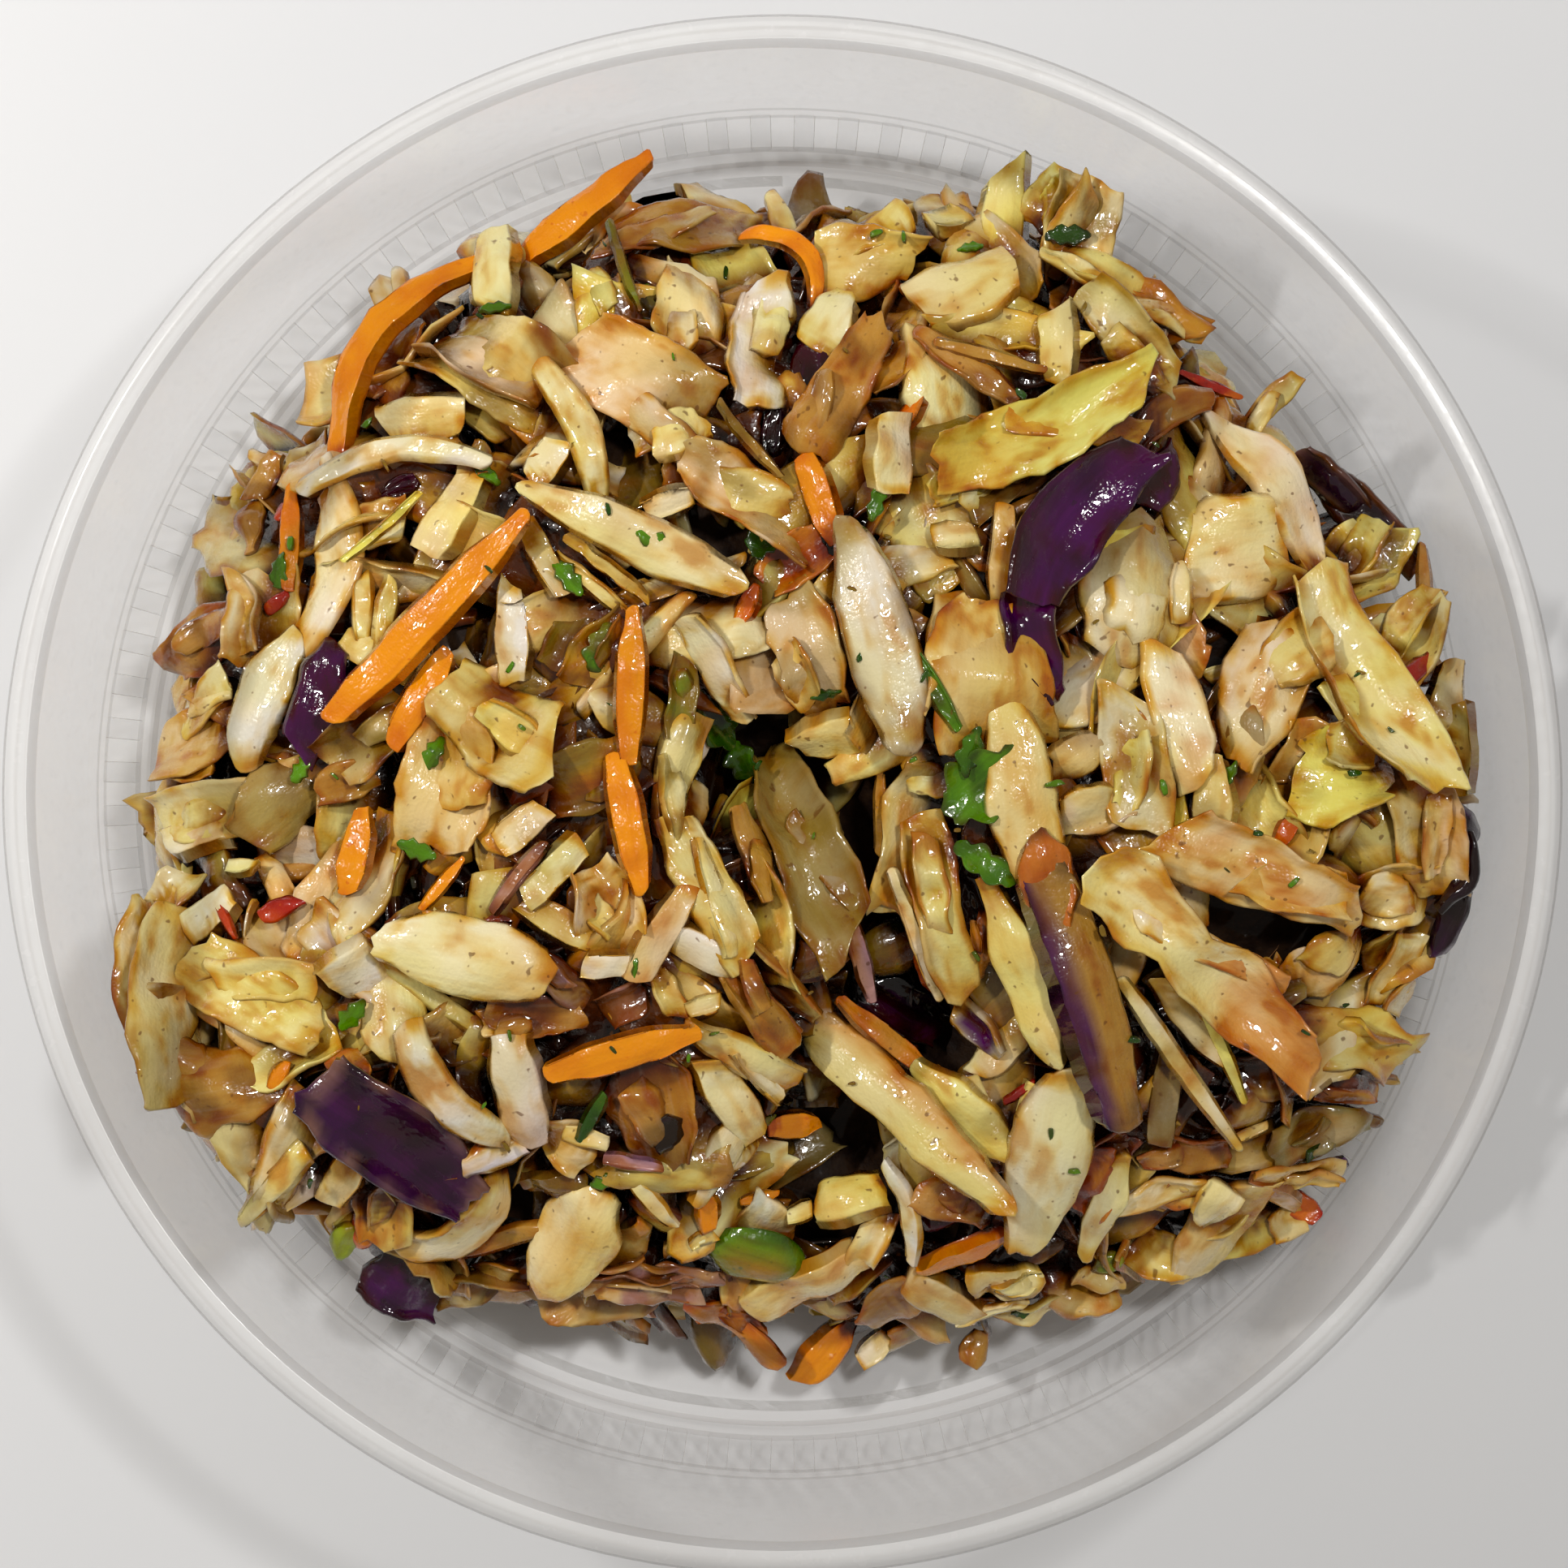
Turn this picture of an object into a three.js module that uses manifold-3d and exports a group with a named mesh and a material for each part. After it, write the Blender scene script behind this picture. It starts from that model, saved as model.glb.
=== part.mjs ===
// Coleslaw in its clear round plastic cup.
// Millimetres, +Z up, the origin at the middle of the foot ring that the cup stands on.
// Seen from straight above, with +Y towards the top of the view.

import * as THREE from "three";
import { mergeVertices } from "three/addons/utils/BufferGeometryUtils.js";
import Module from "manifold-3d";

const wasm = await Module();
wasm.setup();

// Cup
const RIM_RADIUS = 58.5;
const CUP_HEIGHT = 44;
const WALL = 0.8;
const LIP_INNER_RADIUS = 56.4;
const SKIRT_DEPTH = 3;
const SKIRT_WALL = 0.9;
const WALL_TOP_RADIUS = 56;
const WALL_FOOT_RADIUS = 55.1;
const LEDGE_TOP = 11.8;
const BAND_TOP = 10.4;
const BAND_BOTTOM = 2.8;
const BAND_TOP_RADIUS = 54.6;
const BAND_BOTTOM_RADIUS = 52.9;
const FLOOR_TOP = 1.6;
const FLOOR_RADIUS = 51.8;
const FOOT_INNER_RADIUS = 49;
const FOOT_OUTER_RADIUS = 51.4;
const CUP_SIDES = 96;
const RIB_WIDTH = 1.7;
const RIB_DEPTH = 0.35;

// Heap of slaw
const GAP = 0.35;
const HEAP_TOP = 28;
const HEAP_BELLY = 2.6;
const HEAP_SHOULDER = 0.7;
const CORE_DROP = 1.8;
const CORE_INSET = 1;
const CORE_SIDES = 32;
const CORE_RINGS = [1, 0.93, 0.8, 0.64, 0.48, 0.32, 0.16];
const SMALL_PIECE = 11.4;
const ARCH = 0.06;
const TWIST = 24;
const RUFFLE = 0.05;
const LIE = 0.7;
const STEEPEST = 1;
const BED_STEP = 0.25;
const BED_SHARE = 0.06;
const CLEAR_SHARE = 1.1;

// How far the heap reaches and how high it stands there, every 30 degrees from +X
const HEAP_EDGE = [
  { reach: 52.6, height: 21 },
  { reach: 47.5, height: 14 },
  { reach: 49.5, height: 15 },
  { reach: 47.5, height: 8 },
  { reach: 49.5, height: 10 },
  { reach: 49, height: 11 },
  { reach: 49.5, height: 12 },
  { reach: 52.6, height: 25 },
  { reach: 46, height: 8 },
  { reach: 42.5, height: 5 },
  { reach: 46, height: 6 },
  { reach: 52, height: 13 },
];

// Low places between the two mounds
const HOLLOWS = [
  { x: -2, y: 2, deep: 6, spread: 4.5 },
  { x: 4, y: -4, deep: 6, spread: 4.5 },
  { x: 10, y: -17, deep: 7, spread: 4.5 },
  { x: 3, y: -26, deep: 7, spread: 4.5 },
];

// The picture that the places of the pieces were read from: a view straight down,
// in pixels from its top left corner, with its scale given at the rim
const VIEW = { middle: 966, perMillimetre: 16.48, eyeX: 0.12, eyeY: 0.79, eyeHeight: 474 };

// Sorts of piece: thickness, width along the piece from tail to tip, and how far the
// edges stand above the middle as a share of the width. Cupped ones fold along the middle.
const SORTS = {
  carrot: { thick: 2.4, widths: [0.85, 1, 1, 0.7], cup: 0 },
  rib: { thick: 3, widths: [0.7, 1, 0.95, 0.6], cup: 0 },
  strip: { thick: 1.5, widths: [0.7, 1, 1, 0.5], cup: 0 },
  leaf: { thick: 1.2, widths: [0.4, 0.95, 1, 0.3], cup: 0.16 },
  petal: { thick: 2, widths: [0.35, 0.9, 1, 0.4], cup: -0.16 },
  purple: { thick: 1.9, widths: [0.6, 1, 0.9, 0.35], cup: 0.14 },
  husk: { thick: 1.5, widths: [0.5, 1, 0.85, 0.4], cup: -0.2 },
  rind: { thick: 4.2, widths: [0.8, 1, 1, 0.7], cup: -0.22 },
  herb: { thick: 1.1, widths: [0.5, 1, 0.8, 0.4], cup: 0.2 },
};

// The pieces that show. at: middle in the picture. long, wide: millimetres. turn: degrees from +X.
// bend: how far it bows to the left of its direction. rise: its middle above the heap.
// tilt: degrees that its tip points up.
const PIECES = [
  { sort: "petal", at: [1100, 1350], long: 27, wide: 5, turn: -44, rise: 3.2 },
  { sort: "carrot", at: [532, 760], long: 22.3, wide: 3.6, turn: 46, rise: 3.4, tilt: 4 },
  { sort: "leaf", at: [1480, 1180], long: 21.7, wide: 6, turn: -42, rise: 2.6 },
  { sort: "rind", at: [1335, 1222], long: 21.5, wide: 6.2, turn: -69, bend: 1.6, rise: 2.4 },
  { sort: "carrot", at: [480, 425], long: 19, wide: 3.4, turn: 55, bend: 4, rise: 1.5 },
  { sort: "petal", at: [778, 660], long: 19, wide: 4.4, turn: -24, rise: 2.6 },
  { sort: "petal", at: [1260, 975], long: 17, wide: 6, turn: -80, rise: 2.4 },
  { sort: "petal", at: [1080, 790], long: 18.5, wide: 6, turn: -75, rise: 3 },
  { sort: "leaf", at: [1545, 1080], long: 16.6, wide: 6.4, turn: -20, rise: 2.4 },
  { sort: "leaf", at: [1670, 850], long: 16.6, wide: 7, turn: -65, rise: 1 },
  { sort: "leaf", at: [1270, 545], long: 16, wide: 7, turn: 15, rise: 2 },
  { sort: "purple", at: [490, 1405], long: 16, wide: 8.3, turn: -40, rise: 2.2 },
  { sort: "strip", at: [1448, 1305], long: 16.3, wide: 1.7, turn: -55, rise: 2.8 },
  { sort: "petal", at: [1262, 1200], long: 15.5, wide: 4.5, turn: -70, rise: 1.8 },
  { sort: "leaf", at: [990, 1060], long: 15.3, wide: 5.7, turn: -65, rise: 2 },
  { sort: "petal", at: [1290, 1425], long: 15, wide: 6.2, turn: 76, rise: 3.4 },
  { sort: "strip", at: [485, 570], long: 15, wide: 2.2, turn: 6, bend: 2.4, rise: 2 },
  { sort: "purple", at: [1825, 1045], long: 15, wide: 4.5, turn: -78, bend: 4.4, rise: 2.4 },
  { sort: "leaf", at: [860, 270], long: 14.6, wide: 5.7, turn: 15, rise: 0.6 },
  { sort: "petal", at: [1565, 600], long: 14.6, wide: 5.7, turn: -55, bend: 2, rise: 2.2 },
  { sort: "leaf", at: [160, 1245], long: 14.6, wide: 6.4, turn: 85, bend: 1, rise: 3.4, roll: 50 },
  { sort: "leaf", at: [1165, 1120], long: 14.6, wide: 4, turn: -75, rise: 2 },
  { sort: "leaf", at: [610, 450], long: 14, wide: 8, turn: -35, rise: 1 },
  { sort: "strip", at: [405, 685], long: 14, wide: 4.4, turn: 82, bend: -2.7, rise: 1.6 },
  { sort: "petal", at: [575, 1180], long: 14, wide: 6.4, turn: -12, rise: 2.6 },
  { sort: "purple", at: [1320, 632], long: 13.8, wide: 4.8, turn: 42, bend: 3.2, rise: 2.4 },
  { sort: "carrot", at: [722, 260], long: 13.5, wide: 3.6, turn: 40, rise: 0.8 },
  { sort: "husk", at: [1040, 475], long: 13.7, wide: 5, turn: 62, rise: 1.4 },
  { sort: "strip", at: [708, 525], long: 12.7, wide: 2.9, turn: -65, bend: 1.3, rise: 2 },
  { sort: "leaf", at: [910, 605], long: 12.7, wide: 5.7, turn: -35, rise: 1 },
  { sort: "leaf", at: [1220, 850], long: 12.7, wide: 10, turn: 88, rise: 1.4 },
  { sort: "leaf", at: [320, 1225], long: 12.7, wide: 5.7, turn: -28, rise: 1 },
  { sort: "leaf", at: [780, 465], long: 12, wide: 8, turn: -30, rise: 1 },
  { sort: "purple", at: [1720, 625], long: 12, wide: 3.8, turn: -45, rise: 0.4 },
  { sort: "rib", at: [1560, 850], long: 12, wide: 7.4, turn: 65, rise: 1.4 },
  { sort: "carrot", at: [770, 1295], long: 12, wide: 3, turn: 17, rise: 3.2 },
  { sort: "strip", at: [550, 1345], long: 12, wide: 3.8, turn: -47, bend: -1.5, rise: 2 },
  { sort: "petal", at: [1190, 1375], long: 11.5, wide: 4, turn: -42, rise: 1.2 },
  { sort: "leaf", at: [355, 1425], long: 11.5, wide: 4.5, turn: 65, rise: 1 },
  { sort: "leaf", at: [1395, 940], long: 11.5, wide: 5.7, turn: -80, rise: 1.6 },
  { sort: "carrot", at: [778, 845], long: 11.5, wide: 2.6, turn: 88, rise: 2.4 },
  { sort: "petal", at: [330, 868], long: 11.3, wide: 4.8, turn: 68, bend: 1.2, rise: 1.6 },
  { sort: "leaf", at: [545, 960], long: 11, wide: 7, turn: 75, rise: 0.8 },
  { sort: "leaf", at: [1390, 420], long: 10.8, wide: 3.8, turn: -45, rise: 1.4 },
  { sort: "rib", at: [1400, 740], long: 10.8, wide: 9, turn: 88, rise: 1.2 },
  { sort: "strip", at: [1450, 880], long: 10.8, wide: 4.8, turn: -75, rise: 1.6 },
  { sort: "carrot", at: [775, 1015], long: 10.8, wide: 3.2, turn: -80, rise: 2.6 },
  { sort: "leaf", at: [870, 1095], long: 13, wide: 5, turn: -62, rise: 1.4 },
  { sort: "leaf", at: [1360, 245], long: 10.2, wide: 6, turn: 80, rise: 2.2, tilt: 12 },
  { sort: "leaf", at: [620, 900], long: 10.2, wide: 7.6, turn: -35, rise: 1.6 },
  { sort: "leaf", at: [1750, 1020], long: 10.2, wide: 5.4, turn: -75, rise: 1 },
  { sort: "leaf", at: [1650, 1285], long: 10.2, wide: 5.7, turn: -15, rise: 1.6 },
  { sort: "leaf", at: [990, 800], long: 10.2, wide: 7, turn: -70, rise: 0.8 },
  { sort: "petal", at: [700, 1535], long: 10, wide: 6.5, turn: 60, rise: 1.4 },
  { sort: "husk", at: [800, 1370], long: 10, wide: 7.5, turn: -75, rise: 1 },
  { sort: "leaf", at: [270, 1000], long: 9.5, wide: 5, turn: 5, rise: 1 },
  { sort: "rib", at: [990, 1580], long: 9.5, wide: 4.5, turn: 25, rise: 1 },
  { sort: "leaf", at: [1565, 1535], long: 9.5, wide: 5, turn: 25, rise: 1.4 },
  { sort: "leaf", at: [915, 1300], long: 9.5, wide: 3.6, turn: -28, rise: 2.2 },
  { sort: "rib", at: [935, 430], long: 9.6, wide: 5.4, turn: 88, rise: 1 },
  { sort: "strip", at: [1190, 450], long: 9.6, wide: 2.5, turn: -35, rise: 1 },
  { sort: "leaf", at: [1760, 810], long: 9.6, wide: 7.4, turn: 70, rise: 1.6 },
  { sort: "purple", at: [395, 860], long: 9.6, wide: 4.5, turn: 75, rise: 1.4 },
  { sort: "leaf", at: [830, 960], long: 9.6, wide: 3.8, turn: 80, rise: 1.4 },
  { sort: "husk", at: [270, 1340], long: 9.6, wide: 7, turn: 10, rise: 0.4 },
  { sort: "purple", at: [1275, 790], long: 9.3, wide: 4.6, turn: -74, bend: -1, rise: 2.4 },
  { sort: "carrot", at: [520, 860], long: 9, wide: 3.2, turn: 60, rise: 1.6 },
  { sort: "leaf", at: [320, 755], long: 9, wide: 7, turn: 88, rise: 1 },
  { sort: "husk", at: [255, 785], long: 9, wide: 5.2, turn: 35, rise: 0.6 },
  { sort: "carrot", at: [980, 320], long: 8.6, wide: 2, turn: -51, bend: 2.8, rise: 2 },
  { sort: "leaf", at: [1500, 1515], long: 9, wide: 6, turn: 60, rise: 2.2 },
  { sort: "husk", at: [900, 1622], long: 9, wide: 2.8, turn: -33, rise: 0.4 },
  { sort: "leaf", at: [790, 1580], long: 9, wide: 3.4, turn: -5, rise: 0.4 },
  { sort: "petal", at: [1470, 1260], long: 9, wide: 3, turn: -48, rise: 1.2 },
  { sort: "rib", at: [1520, 680], long: 8.9, wide: 8, turn: 10, rise: 0.6 },
  { sort: "leaf", at: [1365, 340], long: 8.9, wide: 4.5, turn: -25, rise: 1 },
  { sort: "rib", at: [640, 1345], long: 8.6, wide: 4.6, turn: -78, rise: 2.4 },
  { sort: "petal", at: [1360, 1482], long: 8.5, wide: 3, turn: 70, rise: 2 },
  { sort: "strip", at: [1115, 1492], long: 8.5, wide: 2, turn: -75, bend: 1, rise: 1.8 },
  { sort: "purple", at: [1640, 600], long: 8.3, wide: 3.2, turn: -45, rise: 1 },
  { sort: "leaf", at: [450, 910], long: 8.3, wide: 4.5, turn: 30, rise: 1 },
  { sort: "rib", at: [1232, 690], long: 8.3, wide: 2.4, turn: 88, rise: 1.4 },
  { sort: "rib", at: [1190, 355], long: 8, wide: 6, turn: 20, rise: 1.2 },
  { sort: "rib", at: [1240, 258], long: 8, wide: 5.2, turn: 85, rise: 1.2 },
  { sort: "herb", at: [930, 1545], long: 8, wide: 5.5, turn: -12, rise: 1 },
  { sort: "leaf", at: [1430, 1467], long: 8, wide: 3.4, turn: 12, rise: 1.6 },
  { sort: "leaf", at: [1660, 950], long: 8, wide: 7.4, turn: 0, rise: 1.6 },
  { sort: "carrot", at: [1190, 1540], long: 7.8, wide: 2.6, turn: 24, rise: 1.6 },
  { sort: "carrot", at: [1012, 615], long: 7.6, wide: 2.9, turn: -70, rise: 1.4 },
  { sort: "herb", at: [1210, 965], long: 7.4, wide: 6, turn: 40, rise: 3 },
  { sort: "petal", at: [885, 1428], long: 7.5, wide: 3.4, turn: 60, rise: 1.2 },
  { sort: "rib", at: [815, 1150], long: 7.5, wide: 3.8, turn: 60, rise: 1.8 },
  { sort: "leaf", at: [855, 385], long: 7, wide: 6.2, turn: 85, rise: 0.8 },
  { sort: "leaf", at: [1055, 325], long: 7, wide: 6.2, turn: 5, rise: 0.8 },
  { sort: "purple", at: [492, 1580], long: 7, wide: 5.5, turn: -32, rise: 1.2 },
  { sort: "rib", at: [432, 1432], long: 7, wide: 3.2, turn: 60, rise: 1 },
  { sort: "husk", at: [655, 1252], long: 7, wide: 3.8, turn: 0, rise: 1 },
  { sort: "leaf", at: [1625, 1390], long: 7, wide: 4.4, turn: 22, rise: 1 },
  { sort: "husk", at: [1335, 1590], long: 7, wide: 4, turn: -10, rise: 0.8 },
  { sort: "rib", at: [632, 780], long: 7.3, wide: 3.2, turn: 88, rise: 1.2 },
  { sort: "leaf", at: [1690, 700], long: 6.6, wide: 6.2, turn: 45, rise: 1.2 },
  { sort: "carrot", at: [1018, 1662], long: 6.4, wide: 3.8, turn: 50, rise: 0.8 },
  { sort: "carrot", at: [440, 1050], long: 6.4, wide: 3.2, turn: 80, rise: 1.4 },
  { sort: "rib", at: [900, 1345], long: 6.4, wide: 4.5, turn: -60, rise: 1.4 },
  { sort: "leaf", at: [1710, 1110], long: 6.6, wide: 5.6, turn: 15, rise: 1 },
];

/** Smooth value between the heap's named directions. */
function heapEdge(angle) {
  const place = (((angle / (2 * Math.PI)) % 1) + 1) % 1 * HEAP_EDGE.length;
  const before = Math.floor(place) % HEAP_EDGE.length;
  const after = (before + 1) % HEAP_EDGE.length;
  const share = THREE.MathUtils.smoothstep(place - Math.floor(place), 0, 1);
  return {
    reach: THREE.MathUtils.lerp(HEAP_EDGE[before].reach, HEAP_EDGE[after].reach, share),
    height: THREE.MathUtils.lerp(HEAP_EDGE[before].height, HEAP_EDGE[after].height, share),
  };
}

/** Height of the heap's outer surface at a place in plan. */
function heapHeight(x, y) {
  const edge = heapEdge(Math.atan2(y, x));
  const out = Math.min(Math.hypot(x, y) / edge.reach, 1);
  const swell = (1 - out ** HEAP_BELLY) ** HEAP_SHOULDER;
  const top = edge.height + (HEAP_TOP - edge.height) * swell;
  const sunk = HOLLOWS.reduce((sum, hollow) => {
    const away = ((x - hollow.x) ** 2 + (y - hollow.y) ** 2) / (2 * hollow.spread ** 2);
    return sum + hollow.deep * Math.exp(-away);
  }, 0);
  return top - sunk;
}

/** How steeply the heap climbs along a level direction, as a share. */
function heapClimb(place, way) {
  const ahead = heapHeight(place.x + way.x, place.y + way.y);
  const behind = heapHeight(place.x - way.x, place.y - way.y);
  return THREE.MathUtils.clamp((ahead - behind) / 2, -STEEPEST, STEEPEST) * LIE;
}

/** Radius of the free space inside the cup at a height. */
function freeRadius(z) {
  if (z > LEDGE_TOP) {
    const share = (z - LEDGE_TOP) / (CUP_HEIGHT - LEDGE_TOP);
    return THREE.MathUtils.lerp(WALL_FOOT_RADIUS, WALL_TOP_RADIUS, share) - GAP;
  }
  const share = Math.max((z - BAND_BOTTOM) / (BAND_TOP - BAND_BOTTOM), 0);
  const band = THREE.MathUtils.lerp(BAND_BOTTOM_RADIUS, BAND_TOP_RADIUS, Math.min(share, 1));
  return (z < BAND_BOTTOM ? FLOOR_RADIUS : band - RIB_DEPTH) - GAP;
}

/** Closed body from rings of points, each ring turning left round the way ahead. */
function loft(rings) {
  const count = rings[0].length;
  const indices = [];
  for (let k = 0; k + 1 < rings.length; k += 1) {
    for (let j = 0; j < count; j += 1) {
      const next = (j + 1) % count;
      const [a, b] = [k * count + j, k * count + next];
      indices.push(a, b, b + count, a, b + count, a + count);
    }
  }
  const last = (rings.length - 1) * count;
  for (let j = 1; j + 1 < count; j += 1) {
    indices.push(0, j + 1, j, last, last + j, last + j + 1);
  }
  const geometry = new THREE.BufferGeometry().setFromPoints(rings.flat());
  geometry.setIndex(indices);
  return geometry;
}

/** Solid for joining and cutting, from a closed geometry. */
function toSolid(geometry) {
  const bare = geometry.clone();
  bare.deleteAttribute("normal");
  bare.deleteAttribute("uv");
  const merged = mergeVertices(bare, 1e-4);
  const faces = [];
  for (let i = 0; i < merged.index.count; i += 3) {
    const corners = [0, 1, 2].map((step) => merged.index.getX(i + step));
    if (new Set(corners).size === corners.length) {
      faces.push(...corners);
    }
  }
  return new wasm.Manifold(new wasm.Mesh({
    numProp: 3,
    vertProperties: new Float32Array(merged.attributes.position.array),
    triVerts: new Uint32Array(faces),
  }));
}

/** Geometry from a joined solid. */
function toGeometry(solid) {
  const mesh = solid.getMesh();
  const geometry = new THREE.BufferGeometry();
  geometry.setAttribute("position", new THREE.Float32BufferAttribute(mesh.vertProperties, 3));
  geometry.setIndex(Array.from(mesh.triVerts));
  geometry.computeVertexNormals();
  return geometry;
}

/** Wall of the cup in section, from the underside to the floor, closed on the axis. */
function cupGeometry() {
  const skirtInner = RIM_RADIUS - SKIRT_WALL;
  const outerTop = WALL_TOP_RADIUS + WALL;
  const outerFoot = WALL_FOOT_RADIUS + WALL;
  const skirtTop = CUP_HEIGHT - WALL;
  const section = [
    [0, WALL],
    [FOOT_INNER_RADIUS, WALL],
    [FOOT_INNER_RADIUS + WALL, 0],
    [FOOT_OUTER_RADIUS, 0],
    [BAND_BOTTOM_RADIUS + WALL, BAND_BOTTOM - WALL],
    [BAND_TOP_RADIUS + WALL, BAND_TOP],
    [outerFoot, LEDGE_TOP],
    [outerTop, skirtTop],
    [skirtInner, skirtTop],
    [skirtInner, CUP_HEIGHT - SKIRT_DEPTH],
    [RIM_RADIUS, CUP_HEIGHT - SKIRT_DEPTH],
    [RIM_RADIUS, CUP_HEIGHT - WALL],
    [RIM_RADIUS - WALL, CUP_HEIGHT],
    [LIP_INNER_RADIUS, CUP_HEIGHT],
    [WALL_TOP_RADIUS, CUP_HEIGHT - WALL],
    [WALL_FOOT_RADIUS, LEDGE_TOP],
    [BAND_TOP_RADIUS, BAND_TOP],
    [BAND_BOTTOM_RADIUS, BAND_BOTTOM],
    [FLOOR_RADIUS, FLOOR_TOP],
    [0, FLOOR_TOP],
  ];
  const profile = section.map(([radius, height]) => new THREE.Vector2(radius, height));
  const shell = new THREE.LatheGeometry(profile, CUP_SIDES);
  shell.rotateX(Math.PI / 2);
  return shell;
}

/** One upright rib on the inside of the band, on the facet that starts at its number. */
function ribGeometry(number) {
  const half = RIB_WIDTH / 2;
  const flat = Math.cos(Math.PI / CUP_SIDES);
  const rings = [
    { z: BAND_BOTTOM + GAP, radius: BAND_BOTTOM_RADIUS * flat + GAP / 4 },
    { z: BAND_TOP - GAP, radius: BAND_TOP_RADIUS * flat - GAP / 4 },
  ].map(({ z, radius }) => [
    new THREE.Vector3(radius - RIB_DEPTH, -half, z),
    new THREE.Vector3(radius + RIB_DEPTH, -half, z),
    new THREE.Vector3(radius + RIB_DEPTH, half, z),
    new THREE.Vector3(radius - RIB_DEPTH, half, z),
  ]);
  const rib = loft(rings);
  rib.rotateZ(((number + 0.5) * 2 * Math.PI) / CUP_SIDES);
  return rib;
}

/** The inner body of the heap, a little under the pieces that show. */
function coreGeometry() {
  const ring = (share, height) => Array.from({ length: CORE_SIDES }, (_, side) => {
    const angle = (side * 2 * Math.PI) / CORE_SIDES;
    const radius = (heapEdge(angle).reach - CORE_INSET) * share;
    const [x, y] = [radius * Math.cos(angle), radius * Math.sin(angle)];
    return new THREE.Vector3(x, y, height ?? heapHeight(x, y) - CORE_DROP);
  });
  const foot = ring(CORE_RINGS[1], FLOOR_TOP + GAP);
  return loft([foot, ...CORE_RINGS.map((share) => ring(share))]);
}

/** Place in plan of a point of the picture that lies at a height. */
function fromView([across, down], z) {
  const scale = (VIEW.eyeHeight - z) / (VIEW.eyeHeight - CUP_HEIGHT) / VIEW.perMillimetre;
  return new THREE.Vector3(
    (across - VIEW.middle) * scale + VIEW.eyeX,
    (VIEW.middle - down) * scale + VIEW.eyeY,
    z,
  );
}

/** Middle of a piece, on the heap under it. */
function middleOf(piece) {
  const guess = fromView(piece.at, HEAP_TOP);
  const height = heapHeight(guess.x, guess.y) + piece.rise;
  return fromView(piece.at, height);
}

/** One piece of cabbage, carrot or herb: a bowed strip with its own widths. */
function pieceGeometry(piece, number) {
  const { long, wide, bend = 0, tilt = 0, roll = 0 } = piece;
  const { thick, cup } = SORTS[piece.sort];
  const small = long < SMALL_PIECE;
  const widths = SORTS[piece.sort].widths.filter((_, k) => !small || k !== 2);
  const folded = cup !== 0 && !small;
  const arch = long * ARCH;
  const turn = THREE.MathUtils.degToRad(piece.turn);
  const forward = new THREE.Vector3(Math.cos(turn), Math.sin(turn), 0);
  const left = new THREE.Vector3(-Math.sin(turn), Math.cos(turn), 0);
  const middle = middleOf(piece).addScaledVector(left, -bend * 2 / 3);
  const lean = Math.atan(heapClimb(middle, left));
  const ahead = forward.clone().multiplyScalar(long / 2);
  ahead.z = (heapClimb(middle, forward) + Math.sin(THREE.MathUtils.degToRad(tilt))) * long / 2;
  const tail = middle.clone().sub(ahead);
  const tip = middle.clone().add(ahead);
  const knee = middle.clone().addScaledVector(left, bend * 2);
  knee.z += arch * 2;
  const spine = new THREE.QuadraticBezierCurve3(tail, knee, tip);
  const wave = number % 2 ? 1 : -1;
  const rings = widths.map((share, station) => {
    const along = station / (widths.length - 1);
    const centre = spine.getPoint(along);
    const way = spine.getTangent(along);
    const side = new THREE.Vector3(0, 0, 1).cross(way).normalize();
    const twist = THREE.MathUtils.degToRad(roll + wave * (along - 0.5) * TWIST);
    side.applyAxisAngle(way, lean + twist);
    const up = way.clone().cross(side);
    const half = (wide * share) / 2;
    const ruffle = wave * wide * RUFFLE * (station % 2 ? 1 : -1);
    const edge = cup * wide * share;
    const across = folded ? [[-1, edge + ruffle], [0, 0], [1, edge - ruffle]] : [[-1, 0], [1, 0]];
    const point = ([s, n], drop) => centre.clone()
      .addScaledVector(side, s * half)
      .addScaledVector(up, n - drop);
    return [
      ...across.map((pair) => point(pair, thick / 2)),
      ...across.map((pair) => point(pair, -thick / 2)).reverse(),
    ];
  });
  return settle(loft(rings), middle);
}

/** Moves a piece inwards and up until it is clear of the cup. */
function settle(geometry, middle) {
  const inwards = new THREE.Vector3(-middle.x, -middle.y, 0).normalize();
  const points = geometry.attributes.position;
  let [over, under] = [0, 0];
  for (let i = 0; i < points.count; i += 1) {
    const [x, y, z] = [points.getX(i), points.getY(i), points.getZ(i)];
    over = Math.max(over, Math.hypot(x, y) - freeRadius(z));
    under = Math.max(under, FLOOR_TOP + GAP - z);
  }
  const inset = over * CLEAR_SHARE;
  geometry.translate(inwards.x * inset, inwards.y * inset, under);
  return geometry;
}

/** Joins solids and keeps the one body that holds together. */
function fuse(solids) {
  const bodies = wasm.Manifold.union(solids).decompose();
  return bodies.reduce((largest, body) => (body.volume() > largest.volume() ? body : largest));
}

/** Lowers each piece until it beds into what lies under it, and joins them all. */
function heapUp(core, pieces) {
  const lowest = FLOOR_TOP + GAP;
  return pieces.reduce((heap, piece) => {
    const enough = piece.volume() * BED_SHARE;
    const drops = Math.floor((piece.boundingBox().min[2] - lowest) / BED_STEP);
    for (let step = 0; step <= drops; step += 1) {
      const bedded = piece.translate([0, 0, -BED_STEP * step]);
      if (heap.intersect(bedded).volume() > enough) {
        return heap.add(bedded);
      }
    }
    return heap;
  }, core);
}

function plastic() {
  return new THREE.MeshStandardMaterial({
    color: 0xdad7d2,
    roughness: 0.3,
    metalness: 0,
    transparent: true,
    opacity: 0.45,
  });
}

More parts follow.
